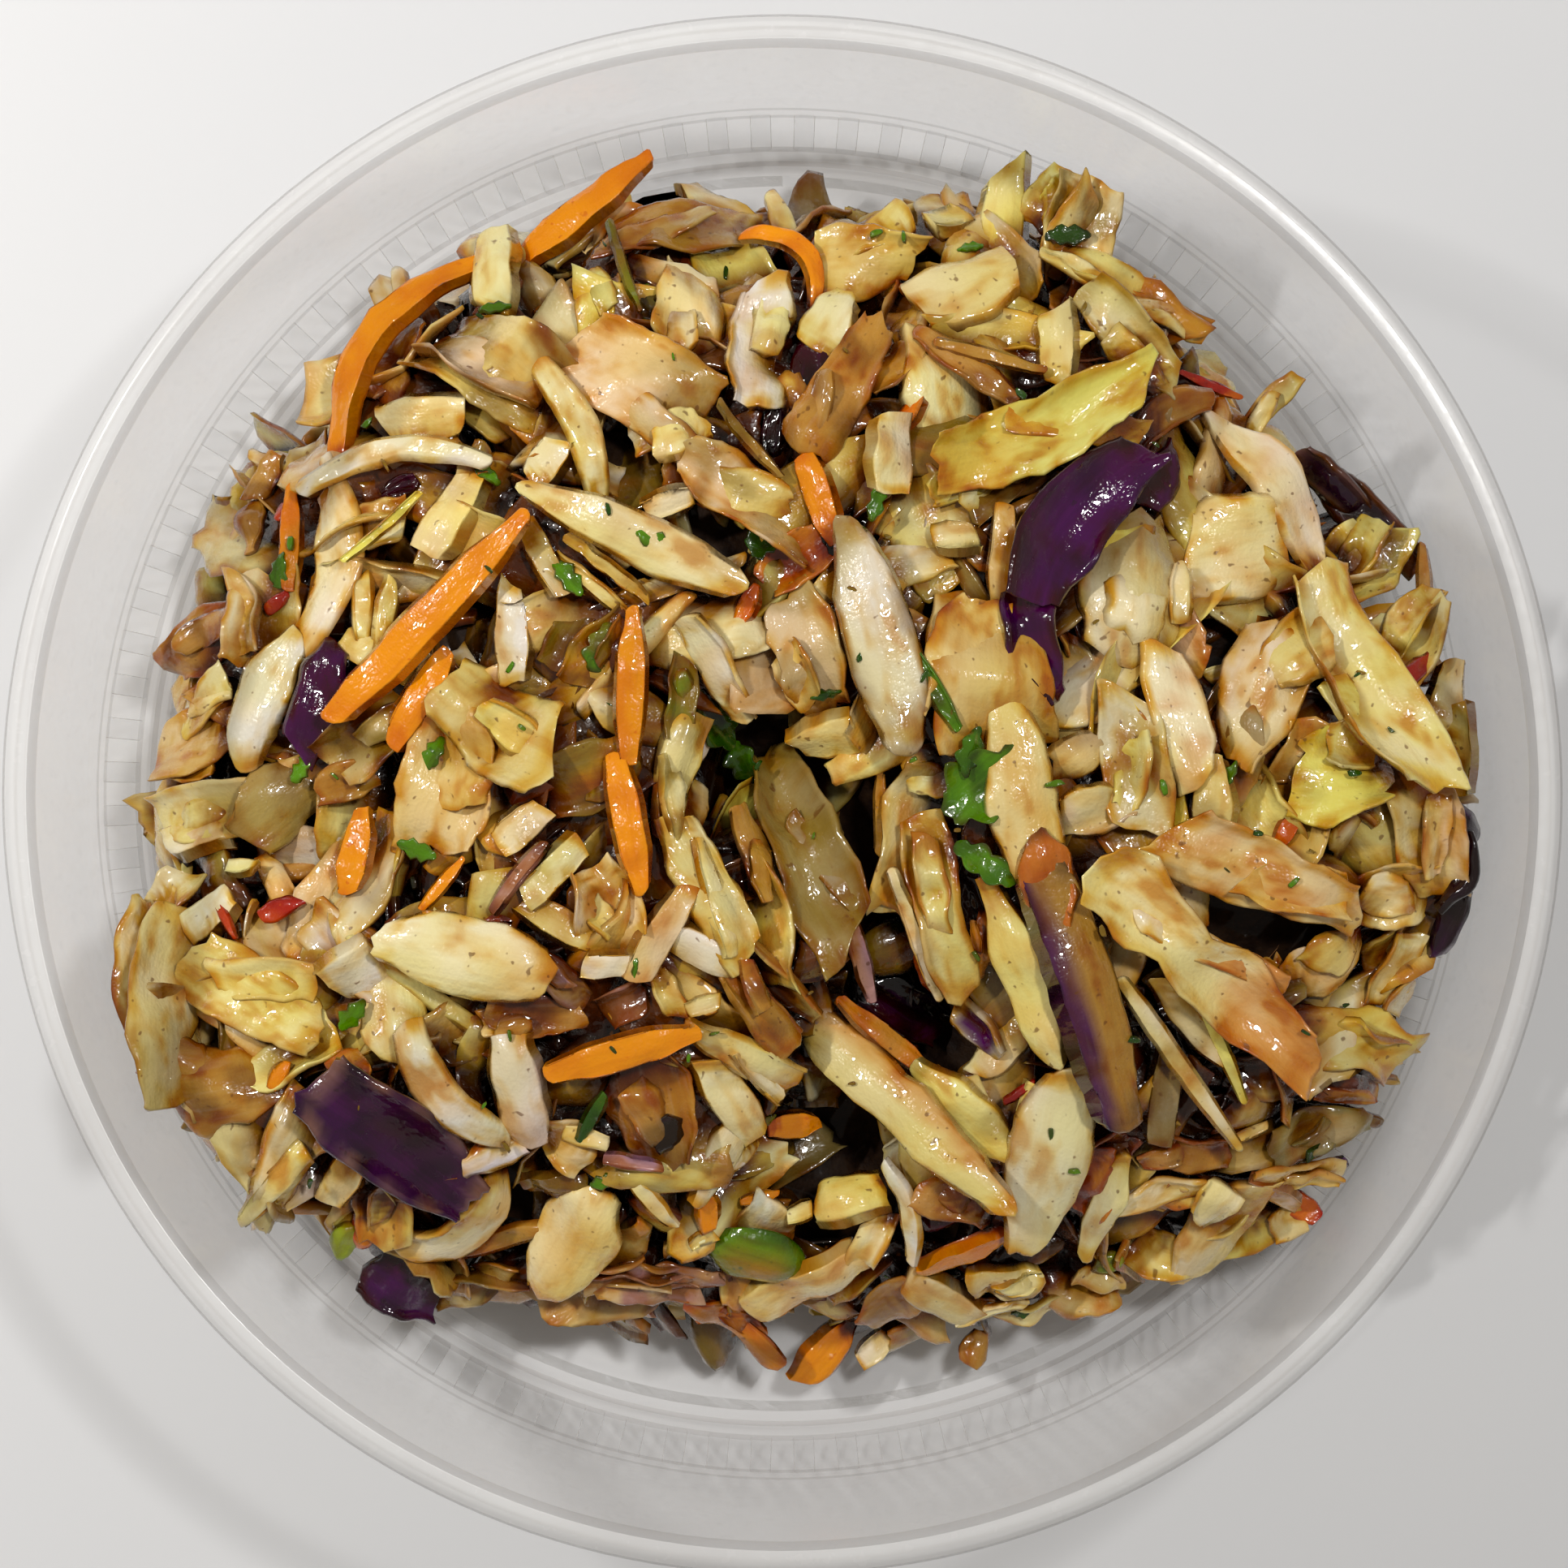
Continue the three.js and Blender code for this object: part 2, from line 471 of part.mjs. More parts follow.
function dressedCabbage() {
  return new THREE.MeshStandardMaterial({ color: 0xd8c48c, roughness: 0.4, metalness: 0 });
}

const ribs = Array.from({ length: CUP_SIDES }, (_, number) => ribGeometry(number));
const shell = fuse([cupGeometry(), ...ribs].map(toSolid));
const cup = new THREE.Mesh(toGeometry(shell), plastic());
cup.name = "cup";

const lowestFirst = [...PIECES].sort((a, b) => a.rise - b.rise).map(pieceGeometry).map(toSolid);
const heap = fuse([heapUp(toSolid(coreGeometry()), lowestFirst)]);
const slaw = new THREE.Mesh(toGeometry(heap), dressedCabbage());
slaw.name = "slaw";

const coleslaw = new THREE.Group();
coleslaw.add(cup, slaw);

export default coleslaw;
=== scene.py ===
"""Coleslaw in its clear round plastic cup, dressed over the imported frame.

Lengths are in millimetres until a mesh is made, and metres in Blender. Places of pieces are
given in pixels of a view from straight above, 1932 pixels wide, with +Y towards its top.
"""

from __future__ import annotations

import logging
import math
from collections.abc import Callable, Iterable, Sequence
from dataclasses import dataclass, field, replace
from enum import Enum

import bmesh
import bpy
import numpy as np
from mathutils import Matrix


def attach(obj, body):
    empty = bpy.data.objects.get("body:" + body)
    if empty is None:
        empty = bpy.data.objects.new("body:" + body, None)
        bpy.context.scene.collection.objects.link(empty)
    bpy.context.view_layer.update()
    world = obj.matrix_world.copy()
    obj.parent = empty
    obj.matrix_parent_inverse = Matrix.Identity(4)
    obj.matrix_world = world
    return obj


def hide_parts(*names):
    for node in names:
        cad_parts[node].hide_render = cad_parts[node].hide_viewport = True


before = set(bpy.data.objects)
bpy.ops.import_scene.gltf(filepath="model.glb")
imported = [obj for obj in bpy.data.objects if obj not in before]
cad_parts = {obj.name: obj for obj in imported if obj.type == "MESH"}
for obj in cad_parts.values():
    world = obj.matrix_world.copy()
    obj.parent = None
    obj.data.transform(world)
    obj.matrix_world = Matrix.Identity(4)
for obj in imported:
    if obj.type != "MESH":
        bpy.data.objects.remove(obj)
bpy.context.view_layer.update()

log = logging.getLogger("coleslaw")
METRES = 0.001
DRESSING = np.array([0.8, 0.52, 0.1])
SEED = 20
TINY = 1e-6
NOTHING = -1.0


class Tone(Enum):
    """Colours of the food as they look in daylight, red, green and blue up to 255."""

    WHITE = (254, 246, 208)
    CREAM = (253, 238, 178)
    PALE = (250, 236, 164)
    YELLOW = (244, 234, 132)
    BEIGE = (246, 218, 150)
    TAN = (200, 148, 62)
    BROWN = (108, 62, 16)
    AMBER = (216, 136, 22)
    YOLK = (228, 168, 14)
    OLIVE = (142, 114, 30)
    GREY = (172, 150, 96)
    LIME = (158, 176, 42)
    GREEN = (90, 146, 0)
    PINE = (38, 78, 2)
    ORANGE = (255, 158, 0)
    RUST = (214, 96, 4)
    RED = (176, 34, 12)
    PURPLE = (76, 4, 82)
    NIGHT = (34, 6, 30)
    PINK = (200, 150, 148)
    MAUVE = (164, 118, 108)
    SOOT = (34, 22, 12)

    def light(self) -> np.ndarray:
        """Linear red, green and blue from 0 to 1."""
        share = np.array(self.value, float) / 255
        return np.where(share <= 0.04045, share / 12.92, ((share + 0.055) / 1.055) ** 2.4)


class Where(Enum):
    """Where on a piece its stain lies."""

    PATCHY = "patchy"
    TIP = "tip"
    TAIL = "tail"
    LEFT = "left"
    RIGHT = "right"
    MIDDLE = "middle"
    RIM = "rim"
    ALL = "all"


@dataclass(frozen=True)
class Section:
    """How one sort of piece is cut and how it has softened.

    thick is in millimetres. widths runs from tail to tip. curl is how many degrees it bends
    across its width, its edges upwards. blunt is how square the ends are, from 0 round to 1.
    corners, ragged and crumple are shares of the width: how far the corners are off square, the
    edge is torn and the surface bows. grooves run along the piece and crimps across it. fold is
    how steeply it is creased, and layers how many leaves lie on each other.
    """

    thick: float
    widths: tuple[float, ...]
    curl: float = 0.0
    blunt: float = 0.5
    corners: float = 0.12
    ragged: float = 0.05
    crumple: float = 0.05
    grooves: int = 0
    groove_depth: float = 0.0
    crimp_length: float = 0.0
    crimp_depth: float = 0.0
    lobes: int = 0
    thin_edge: float = 0.4
    fold: float = 0.0
    layers: int = 1


class Cut(Enum):
    """The sorts of piece in the slaw."""

    LEAF = Section(
        0.8, (0.8, 1.0, 0.95, 0.75), 60, 0.8, 0.32, 0.1, 0.14, 3, 0.07,
        thin_edge=0.5, fold=0.5, layers=2,
    )
    PETAL = Section(1.8, (0.5, 0.95, 1.0, 0.6), -60, 0.6, 0.2, 0.06, 0.1, 2, 0.12, thin_edge=0.3)
    RIB = Section(2.2, (0.85, 1.0, 0.95, 0.8), -30, 0.8, 0.22, 0.07, 0.1, 2, 0.09, thin_edge=0.2)
    CHUNK = Section(
        2.2, (0.8, 1.0, 1.0, 0.8), -60, 0.7, 0.2, 0.1, 0.2, 2, 0.3, 2.6, 0.3, fold=0.5, layers=2
    )
    FAN = Section(
        1.5, (0.55, 0.85, 1.0, 0.95), -25, 0.85, 0.16, 0.08, 0.1, 5, 0.42, fold=0.3, layers=2
    )
    STRIP = Section(1.2, (0.8, 1.0, 1.0, 0.65), 30, 0.8, 0.12, 0.05, 0.12, 1, 0.06, fold=0.2)
    HUSK = Section(
        1.1, (0.7, 1.0, 0.9, 0.6), -75, 0.75, 0.22, 0.12, 0.18, 4, 0.2, fold=0.55, layers=2
    )
    RIND = Section(4.4, (0.95, 1.0, 1.0, 0.85), -30, 0.5, 0.03, 0.05, 0.04, 1, 0.1, 1.4, 0.25)
    PURPLE = Section(1.1, (0.75, 1.0, 0.95, 0.6), 70, 0.85, 0.2, 0.07, 0.12, 2, 0.1, fold=0.3)
    CARROT = Section(
        2.4, (0.7, 1.0, 0.95, 0.5), -30, 0.7, 0.12, 0.04, 0.06, 1, 0.06, 1.6, 0.07, thin_edge=0.3
    )
    HERB = Section(0.45, (0.6, 1.0, 0.9, 0.5), 50, 0.3, 0.1, 0.1, 0.2, 2, 0.1, lobes=3)
    FLAKE = Section(0.7, (0.7, 1.0, 0.9, 0.6), 30, 0.7, 0.25, 0.08, 0.1)
    BEAN = Section(2.6, (0.75, 1.0, 1.0, 0.75), 0, 0.05, 0.0, 0.0, 0.04, thin_edge=0.9)
    CRUMB = Section(0.8, (0.8, 1.0, 1.0, 0.7), 20, 0.6, 0.3, 0.1, 0.12)


@dataclass(frozen=True)
class Piece:
    """One piece that shows.

    x and y are its middle in the view, long and wide its size, turn its direction from +X in
    degrees, rise its middle above the heap, bend how far it bows to the left, tilt how far its
    tip points up, roll how far it leans about its own length, and shade scales its colour.
    """

    cut: Cut
    x: float
    y: float
    long: float
    wide: float
    turn: float
    rise: float
    tone: Tone = Tone.CREAM
    stain: Tone = Tone.AMBER
    much: float = 0.4
    where: Where = Where.PATCHY
    bend: float = 0.0
    tilt: float = 0.0
    roll: float = 0.0
    edge: Tone | None = None
    shade: float = 1.0


C, T, W = Cut, Tone, Where

# The larger pieces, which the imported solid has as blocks, roughly biggest first
MAIN_PIECES = (
    Piece(C.PETAL, 1100, 1350, 27, 5, -44, 3.2, T.CREAM, T.AMBER, 0.6, W.LEFT),
    Piece(C.CARROT, 532, 760, 22.3, 3.6, 46, 3.4, T.ORANGE, T.RUST, 0.2, tilt=4),
    Piece(C.LEAF, 1480, 1180, 21.7, 6, -42, 2.6, T.CREAM, T.AMBER, 0.85, W.TIP),
    Piece(
        C.RIND, 1333, 1222, 21.5, 5.8, -73, 3.0, T.TAN, T.PURPLE, 0.95, W.RIGHT,
        bend=0.8, roll=-10, edge=T.NIGHT, shade=0.85,
    ),
    Piece(C.CARROT, 480, 425, 19, 3.4, 55, 1.5, T.ORANGE, T.RUST, 0.4, bend=4),
    Piece(C.PETAL, 778, 660, 19, 4.4, -24, 2.6, T.CREAM, T.TAN, 0.4),
    Piece(C.PETAL, 1260, 975, 17, 6, -80, 2.4, T.CREAM, T.YOLK, 0.5, W.MIDDLE),
    Piece(C.PETAL, 1080, 790, 18.5, 6, -75, 3, T.WHITE, T.BROWN, 0.6, W.RIM),
    Piece(C.LEAF, 1545, 1080, 16.6, 6.4, -20, 2.4, T.BEIGE, T.AMBER, 0.5),
    Piece(C.LEAF, 1670, 850, 16.6, 8.4, -65, 1.4, T.PALE, T.YELLOW, 0.5),
    Piece(C.LEAF, 1270, 545, 16, 7, 15, 2, T.YELLOW, T.YOLK, 0.6, W.TAIL),
    Piece(C.PURPLE, 488, 1403, 14.6, 8, -42, 2.8, T.PURPLE, T.NIGHT, 0.8, edge=T.MAUVE, shade=0.62),
    Piece(C.STRIP, 1448, 1305, 16.3, 1.7, -55, 2.8, T.PALE, T.OLIVE, 0.3),
    Piece(C.PETAL, 1262, 1200, 15.5, 4.5, -70, 1.8, T.CREAM, T.YOLK, 0.3),
    Piece(C.LEAF, 990, 1060, 15.3, 5.7, -65, 2, T.GREY, T.OLIVE, 0.8),
    Piece(C.PETAL, 1290, 1425, 15, 6.2, 76, 3.4, T.WHITE, T.TAN, 0.3, W.RIM),
    Piece(C.STRIP, 485, 570, 15, 2.6, 6, 2.4, T.WHITE, T.CREAM, 0.4, bend=2.4),
    Piece(C.PURPLE, 1800, 1005, 7, 2.6, -38, 2.2, T.NIGHT, T.SOOT, 0.7, edge=T.PURPLE),
    Piece(C.PURPLE, 1832, 1075, 6.4, 3, -98, 2.6, T.NIGHT, T.SOOT, 0.7, bend=1.2, roll=30),
    Piece(C.PURPLE, 1806, 1140, 6, 2.2, -112, 1.8, T.NIGHT, T.SOOT, 0.7, edge=T.PURPLE),
    Piece(C.LEAF, 860, 270, 14.6, 5.7, 15, 0.6, T.TAN, T.PALE, 0.5, W.TIP),
    Piece(C.PETAL, 1565, 600, 14.6, 5.7, -55, 2.2, T.CREAM, T.AMBER, 0.35, bend=2),
    Piece(C.LEAF, 160, 1245, 14.6, 6.4, 85, 3.4, T.PALE, T.OLIVE, 0.5, W.TAIL, bend=1, roll=50),
    Piece(C.LEAF, 1165, 1120, 14.6, 4, -75, 2, T.PALE, T.TAN, 0.6, W.RIM),
    Piece(C.LEAF, 610, 450, 14, 8, -35, 1, T.BEIGE, T.BROWN, 0.6),
    Piece(C.STRIP, 405, 685, 14, 4.4, 82, 1.6, T.WHITE, T.BEIGE, 0.4, bend=-2.7),
    Piece(C.PETAL, 575, 1180, 14, 6.4, -12, 2.6, T.WHITE, T.YOLK, 0.4, W.TIP),
    Piece(C.PURPLE, 1322, 640, 14.4, 6.6, 52, 3.2, T.PURPLE, T.NIGHT, 0.6, bend=1.4),
    Piece(C.CARROT, 722, 260, 13.5, 3.6, 40, 0.8, T.ORANGE, T.RUST, 0.5, W.TIP),
    Piece(C.HUSK, 1040, 475, 13.7, 5, 62, 1.4, T.TAN, T.BROWN, 0.5),
    Piece(C.STRIP, 708, 525, 12.7, 2.9, -65, 2, T.WHITE, T.TAN, 0.4, bend=1.3),
    Piece(C.LEAF, 910, 605, 12.7, 5.7, -35, 1, T.BEIGE, T.OLIVE, 0.6),
    Piece(C.LEAF, 1220, 850, 12.7, 10, 88, 1.4, T.BEIGE, T.TAN, 0.5),
    Piece(C.LEAF, 320, 1225, 12.7, 5.7, -28, 1, T.PALE, T.TAN, 0.4, W.RIM),
    Piece(C.LEAF, 780, 465, 12, 8, -30, 1, T.BEIGE, T.OLIVE, 0.6, W.TIP),
    Piece(C.PURPLE, 1720, 625, 12, 3.8, -45, 0.4, T.NIGHT, T.MAUVE, 0.5, W.RIM),
    Piece(C.FAN, 1560, 850, 12, 7.4, 65, 1.4, T.CREAM, T.TAN, 0.5, W.RIM),
    Piece(C.CARROT, 770, 1295, 12, 3, 17, 3.2, T.ORANGE, T.RUST, 0.2),
    Piece(C.STRIP, 550, 1345, 12.5, 3.6, -50, 3.2, T.WHITE, T.YOLK, 0.25, bend=-1.8),
    Piece(C.STRIP, 610, 1418, 4.6, 3.0, 18, 3.0, T.WHITE, T.AMBER, 0.3),
    Piece(C.PETAL, 1190, 1375, 11.5, 4, -42, 1.2, T.PALE, T.OLIVE, 0.6),
    Piece(C.FAN, 355, 1425, 11.5, 4.5, 65, 1, T.PALE, T.OLIVE, 0.4),
    Piece(C.LEAF, 1395, 940, 11.5, 5.7, -80, 1.6, T.CREAM, T.BROWN, 0.4, W.MIDDLE),
    Piece(C.CARROT, 778, 845, 11.5, 2.6, 88, 2.4, T.ORANGE, T.RUST, 0.4),
    Piece(C.PETAL, 330, 868, 11.3, 4.8, 68, 1.6, T.WHITE, T.BEIGE, 0.3, bend=1.2),
    Piece(C.LEAF, 545, 960, 11, 7, 75, 0.8, T.BEIGE, T.PINK, 0.3, W.TIP),
    Piece(C.LEAF, 1390, 420, 10.8, 3.8, -45, 1.4, T.CREAM, T.OLIVE, 0.5, W.RIM),
    Piece(C.CHUNK, 1400, 740, 10.8, 9, 88, 1.2, T.CREAM, T.BROWN, 0.6, W.TIP),
    Piece(C.STRIP, 1450, 880, 10.8, 4.8, -75, 1.6, T.CREAM, T.AMBER, 0.5),
    Piece(C.CARROT, 775, 1015, 10.8, 3.2, -80, 2.6, T.ORANGE, T.RUST, 0.3),
    Piece(C.FAN, 870, 1095, 13, 5, -62, 1.4, T.PALE, T.YOLK, 0.3),
    Piece(C.LEAF, 1360, 245, 10.2, 6, 80, 2.2, T.PALE, T.OLIVE, 0.6, tilt=12),
    Piece(C.CHUNK, 620, 900, 10.2, 7.6, -35, 1.6, T.PALE, T.YOLK, 0.6, W.MIDDLE),
    Piece(C.LEAF, 1750, 1020, 10.2, 5.4, -75, 1, T.CREAM, T.AMBER, 0.4, W.LEFT),
    Piece(C.LEAF, 1650, 1285, 10.2, 5.7, -15, 1.6, T.PALE, T.YOLK, 0.6, W.PATCHY),
    Piece(C.LEAF, 990, 800, 10.2, 7, -70, 0.8, T.BEIGE, T.OLIVE, 0.5),
    Piece(C.PETAL, 700, 1535, 10, 6.5, 60, 1.4, T.CREAM, T.YOLK, 0.6, W.MIDDLE),
    Piece(C.HUSK, 800, 1370, 10, 7.5, -75, 1, T.TAN, T.SOOT, 0.6, W.TIP),
    Piece(C.LEAF, 270, 1000, 9.5, 5, 5, 1, T.CREAM, T.TAN, 0.5, W.TIP),
    Piece(C.RIB, 990, 1580, 9.5, 4.5, 25, 1, T.CREAM, T.AMBER, 0.4),
    Piece(C.LEAF, 1565, 1535, 9.5, 5, 25, 1.4, T.CREAM, T.YOLK, 0.3),
    Piece(C.FAN, 915, 1300, 9.5, 3.6, -28, 2.2, T.CREAM, T.TAN, 0.5),
    Piece(C.CHUNK, 935, 430, 9.6, 5.4, 88, 1, T.WHITE, T.TAN, 0.4),
    Piece(C.STRIP, 1190, 450, 9.6, 2.5, -35, 1, T.TAN, T.BROWN, 0.4),
    Piece(C.LEAF, 1760, 810, 9.6, 7.4, 70, 1.6, T.CREAM, T.YELLOW, 0.6),
    Piece(C.PURPLE, 395, 860, 9.6, 4.5, 75, 1.4, T.PURPLE, T.NIGHT, 0.4),
    Piece(C.FAN, 830, 960, 9.6, 3.8, 80, 1.4, T.PALE, T.OLIVE, 0.6),
    Piece(C.HUSK, 270, 1340, 9.6, 7, 10, 0.4, T.TAN, T.BROWN, 0.6),
    Piece(C.PURPLE, 1275, 790, 9.3, 4.6, -74, 2.4, T.PURPLE, T.NIGHT, 0.5, bend=-1),
    Piece(C.CARROT, 520, 860, 9, 3.2, 60, 1.6, T.ORANGE, T.RUST, 0.6),
    Piece(C.LEAF, 320, 755, 9, 7, 88, 1, T.WHITE, T.TAN, 0.4, W.RIM),
    Piece(C.HUSK, 255, 785, 9, 5.2, 35, 0.6, T.TAN, T.BROWN, 0.7),
    Piece(C.CARROT, 980, 320, 8.6, 2, -51, 2, T.ORANGE, T.RUST, 0.6, bend=2.8),
    Piece(C.FAN, 1500, 1515, 9, 6, 60, 2.2, T.CREAM, T.OLIVE, 0.3),
    Piece(C.HUSK, 900, 1622, 9, 2.8, -33, 0.4, T.AMBER, T.BROWN, 0.6),
    Piece(C.LEAF, 790, 1580, 9, 3.4, -5, 0.4, T.MAUVE, T.BEIGE, 0.6),
    Piece(C.PETAL, 1470, 1260, 9, 3, -48, 1.2, T.PALE, T.OLIVE, 0.5),
    Piece(C.RIB, 1520, 680, 8.9, 8, 10, 0.6, T.CREAM, T.AMBER, 0.3),
    Piece(C.LEAF, 1365, 340, 8.9, 4.5, -25, 1, T.CREAM, T.OLIVE, 0.4),
    Piece(C.RIB, 640, 1345, 8.6, 4.6, -78, 2.4, T.WHITE, T.AMBER, 0.3, W.TIP),
    Piece(C.PETAL, 1360, 1482, 8.5, 3, 70, 2, T.WHITE, T.TAN, 0.3),
    Piece(C.STRIP, 1115, 1492, 8.5, 2, -75, 1.8, T.WHITE, T.YOLK, 0.3, bend=1),
    Piece(C.PURPLE, 1640, 600, 8.3, 3.2, -45, 1, T.NIGHT, T.MAUVE, 0.4, W.RIM),
    Piece(C.LEAF, 450, 910, 8.3, 4.5, 30, 1, T.OLIVE, T.BEIGE, 0.6),
    Piece(C.RIB, 1232, 690, 8.3, 2.4, 88, 1.4, T.BEIGE, T.TAN, 0.4),
    Piece(C.RIB, 1190, 355, 8, 6, 20, 1.2, T.CREAM, T.TAN, 0.4, W.RIM),
    Piece(C.RIB, 1240, 258, 8, 5.2, 85, 1.2, T.PALE, T.OLIVE, 0.4),
    Piece(
        C.BEAN, 930, 1545, 8, 5.8, -12, 1, T.GREEN, T.AMBER, 0.7, W.MIDDLE,
        edge=T.PINE, shade=0.8,
    ),
    Piece(C.LEAF, 1430, 1467, 8, 3.4, 12, 1.6, T.PALE, T.TAN, 0.3),
    Piece(C.LEAF, 1660, 950, 8, 7.4, 0, 1.6, T.YELLOW, T.OLIVE, 0.3),
    Piece(C.CARROT, 1190, 1540, 7.8, 2.6, 24, 1.6, T.ORANGE, T.RUST, 0.4),
    Piece(C.CARROT, 1012, 615, 7.6, 2.9, -70, 1.4, T.ORANGE, T.RUST, 0.3),
    Piece(C.HERB, 1210, 965, 7.4, 6, 40, 3, T.GREEN, T.PINE, 0.6),
    Piece(C.PETAL, 885, 1428, 7.5, 3.4, 60, 1.2, T.WHITE, T.TAN, 0.3),
    Piece(C.RIB, 815, 1150, 7.5, 3.8, 60, 1.8, T.BEIGE, T.AMBER, 0.6),
    Piece(C.LEAF, 855, 385, 7, 6.2, 85, 0.8, T.CREAM, T.BROWN, 0.5),
    Piece(C.LEAF, 1055, 325, 7, 6.2, 5, 0.8, T.BEIGE, T.TAN, 0.4),
    Piece(C.PURPLE, 492, 1580, 7, 5.5, -32, 1.2, T.PURPLE, T.NIGHT, 0.7),
    Piece(C.RIB, 432, 1432, 7, 3.2, 60, 1, T.CREAM, T.TAN, 0.4),
    Piece(C.HUSK, 655, 1252, 7, 3.8, 0, 1, T.TAN, T.BROWN, 0.5),
    Piece(C.LEAF, 1625, 1390, 7, 4.4, 22, 1, T.GREY, T.PINE, 0.4, W.RIM),
    Piece(C.HUSK, 1335, 1590, 7, 4, -10, 0.8, T.BEIGE, T.AMBER, 0.6),
    Piece(C.RIB, 632, 780, 7.3, 3.2, 88, 1.2, T.WHITE, T.TAN, 0.3),
    Piece(C.LEAF, 1690, 700, 6.6, 6.2, 45, 1.2, T.YELLOW, T.OLIVE, 0.4),
    Piece(C.CARROT, 1018, 1662, 6.4, 3.8, 50, 0.8, T.ORANGE, T.RUST, 0.3),
    Piece(C.CARROT, 440, 1050, 6.4, 3.2, 80, 1.4, T.ORANGE, T.RUST, 0.3),
    Piece(C.RIB, 900, 1345, 6.4, 4.5, -60, 1.4, T.WHITE, T.BEIGE, 0.4),
    Piece(C.LEAF, 1710, 1110, 6.6, 5.6, 15, 1, T.CREAM, T.BEIGE, 0.4),
)

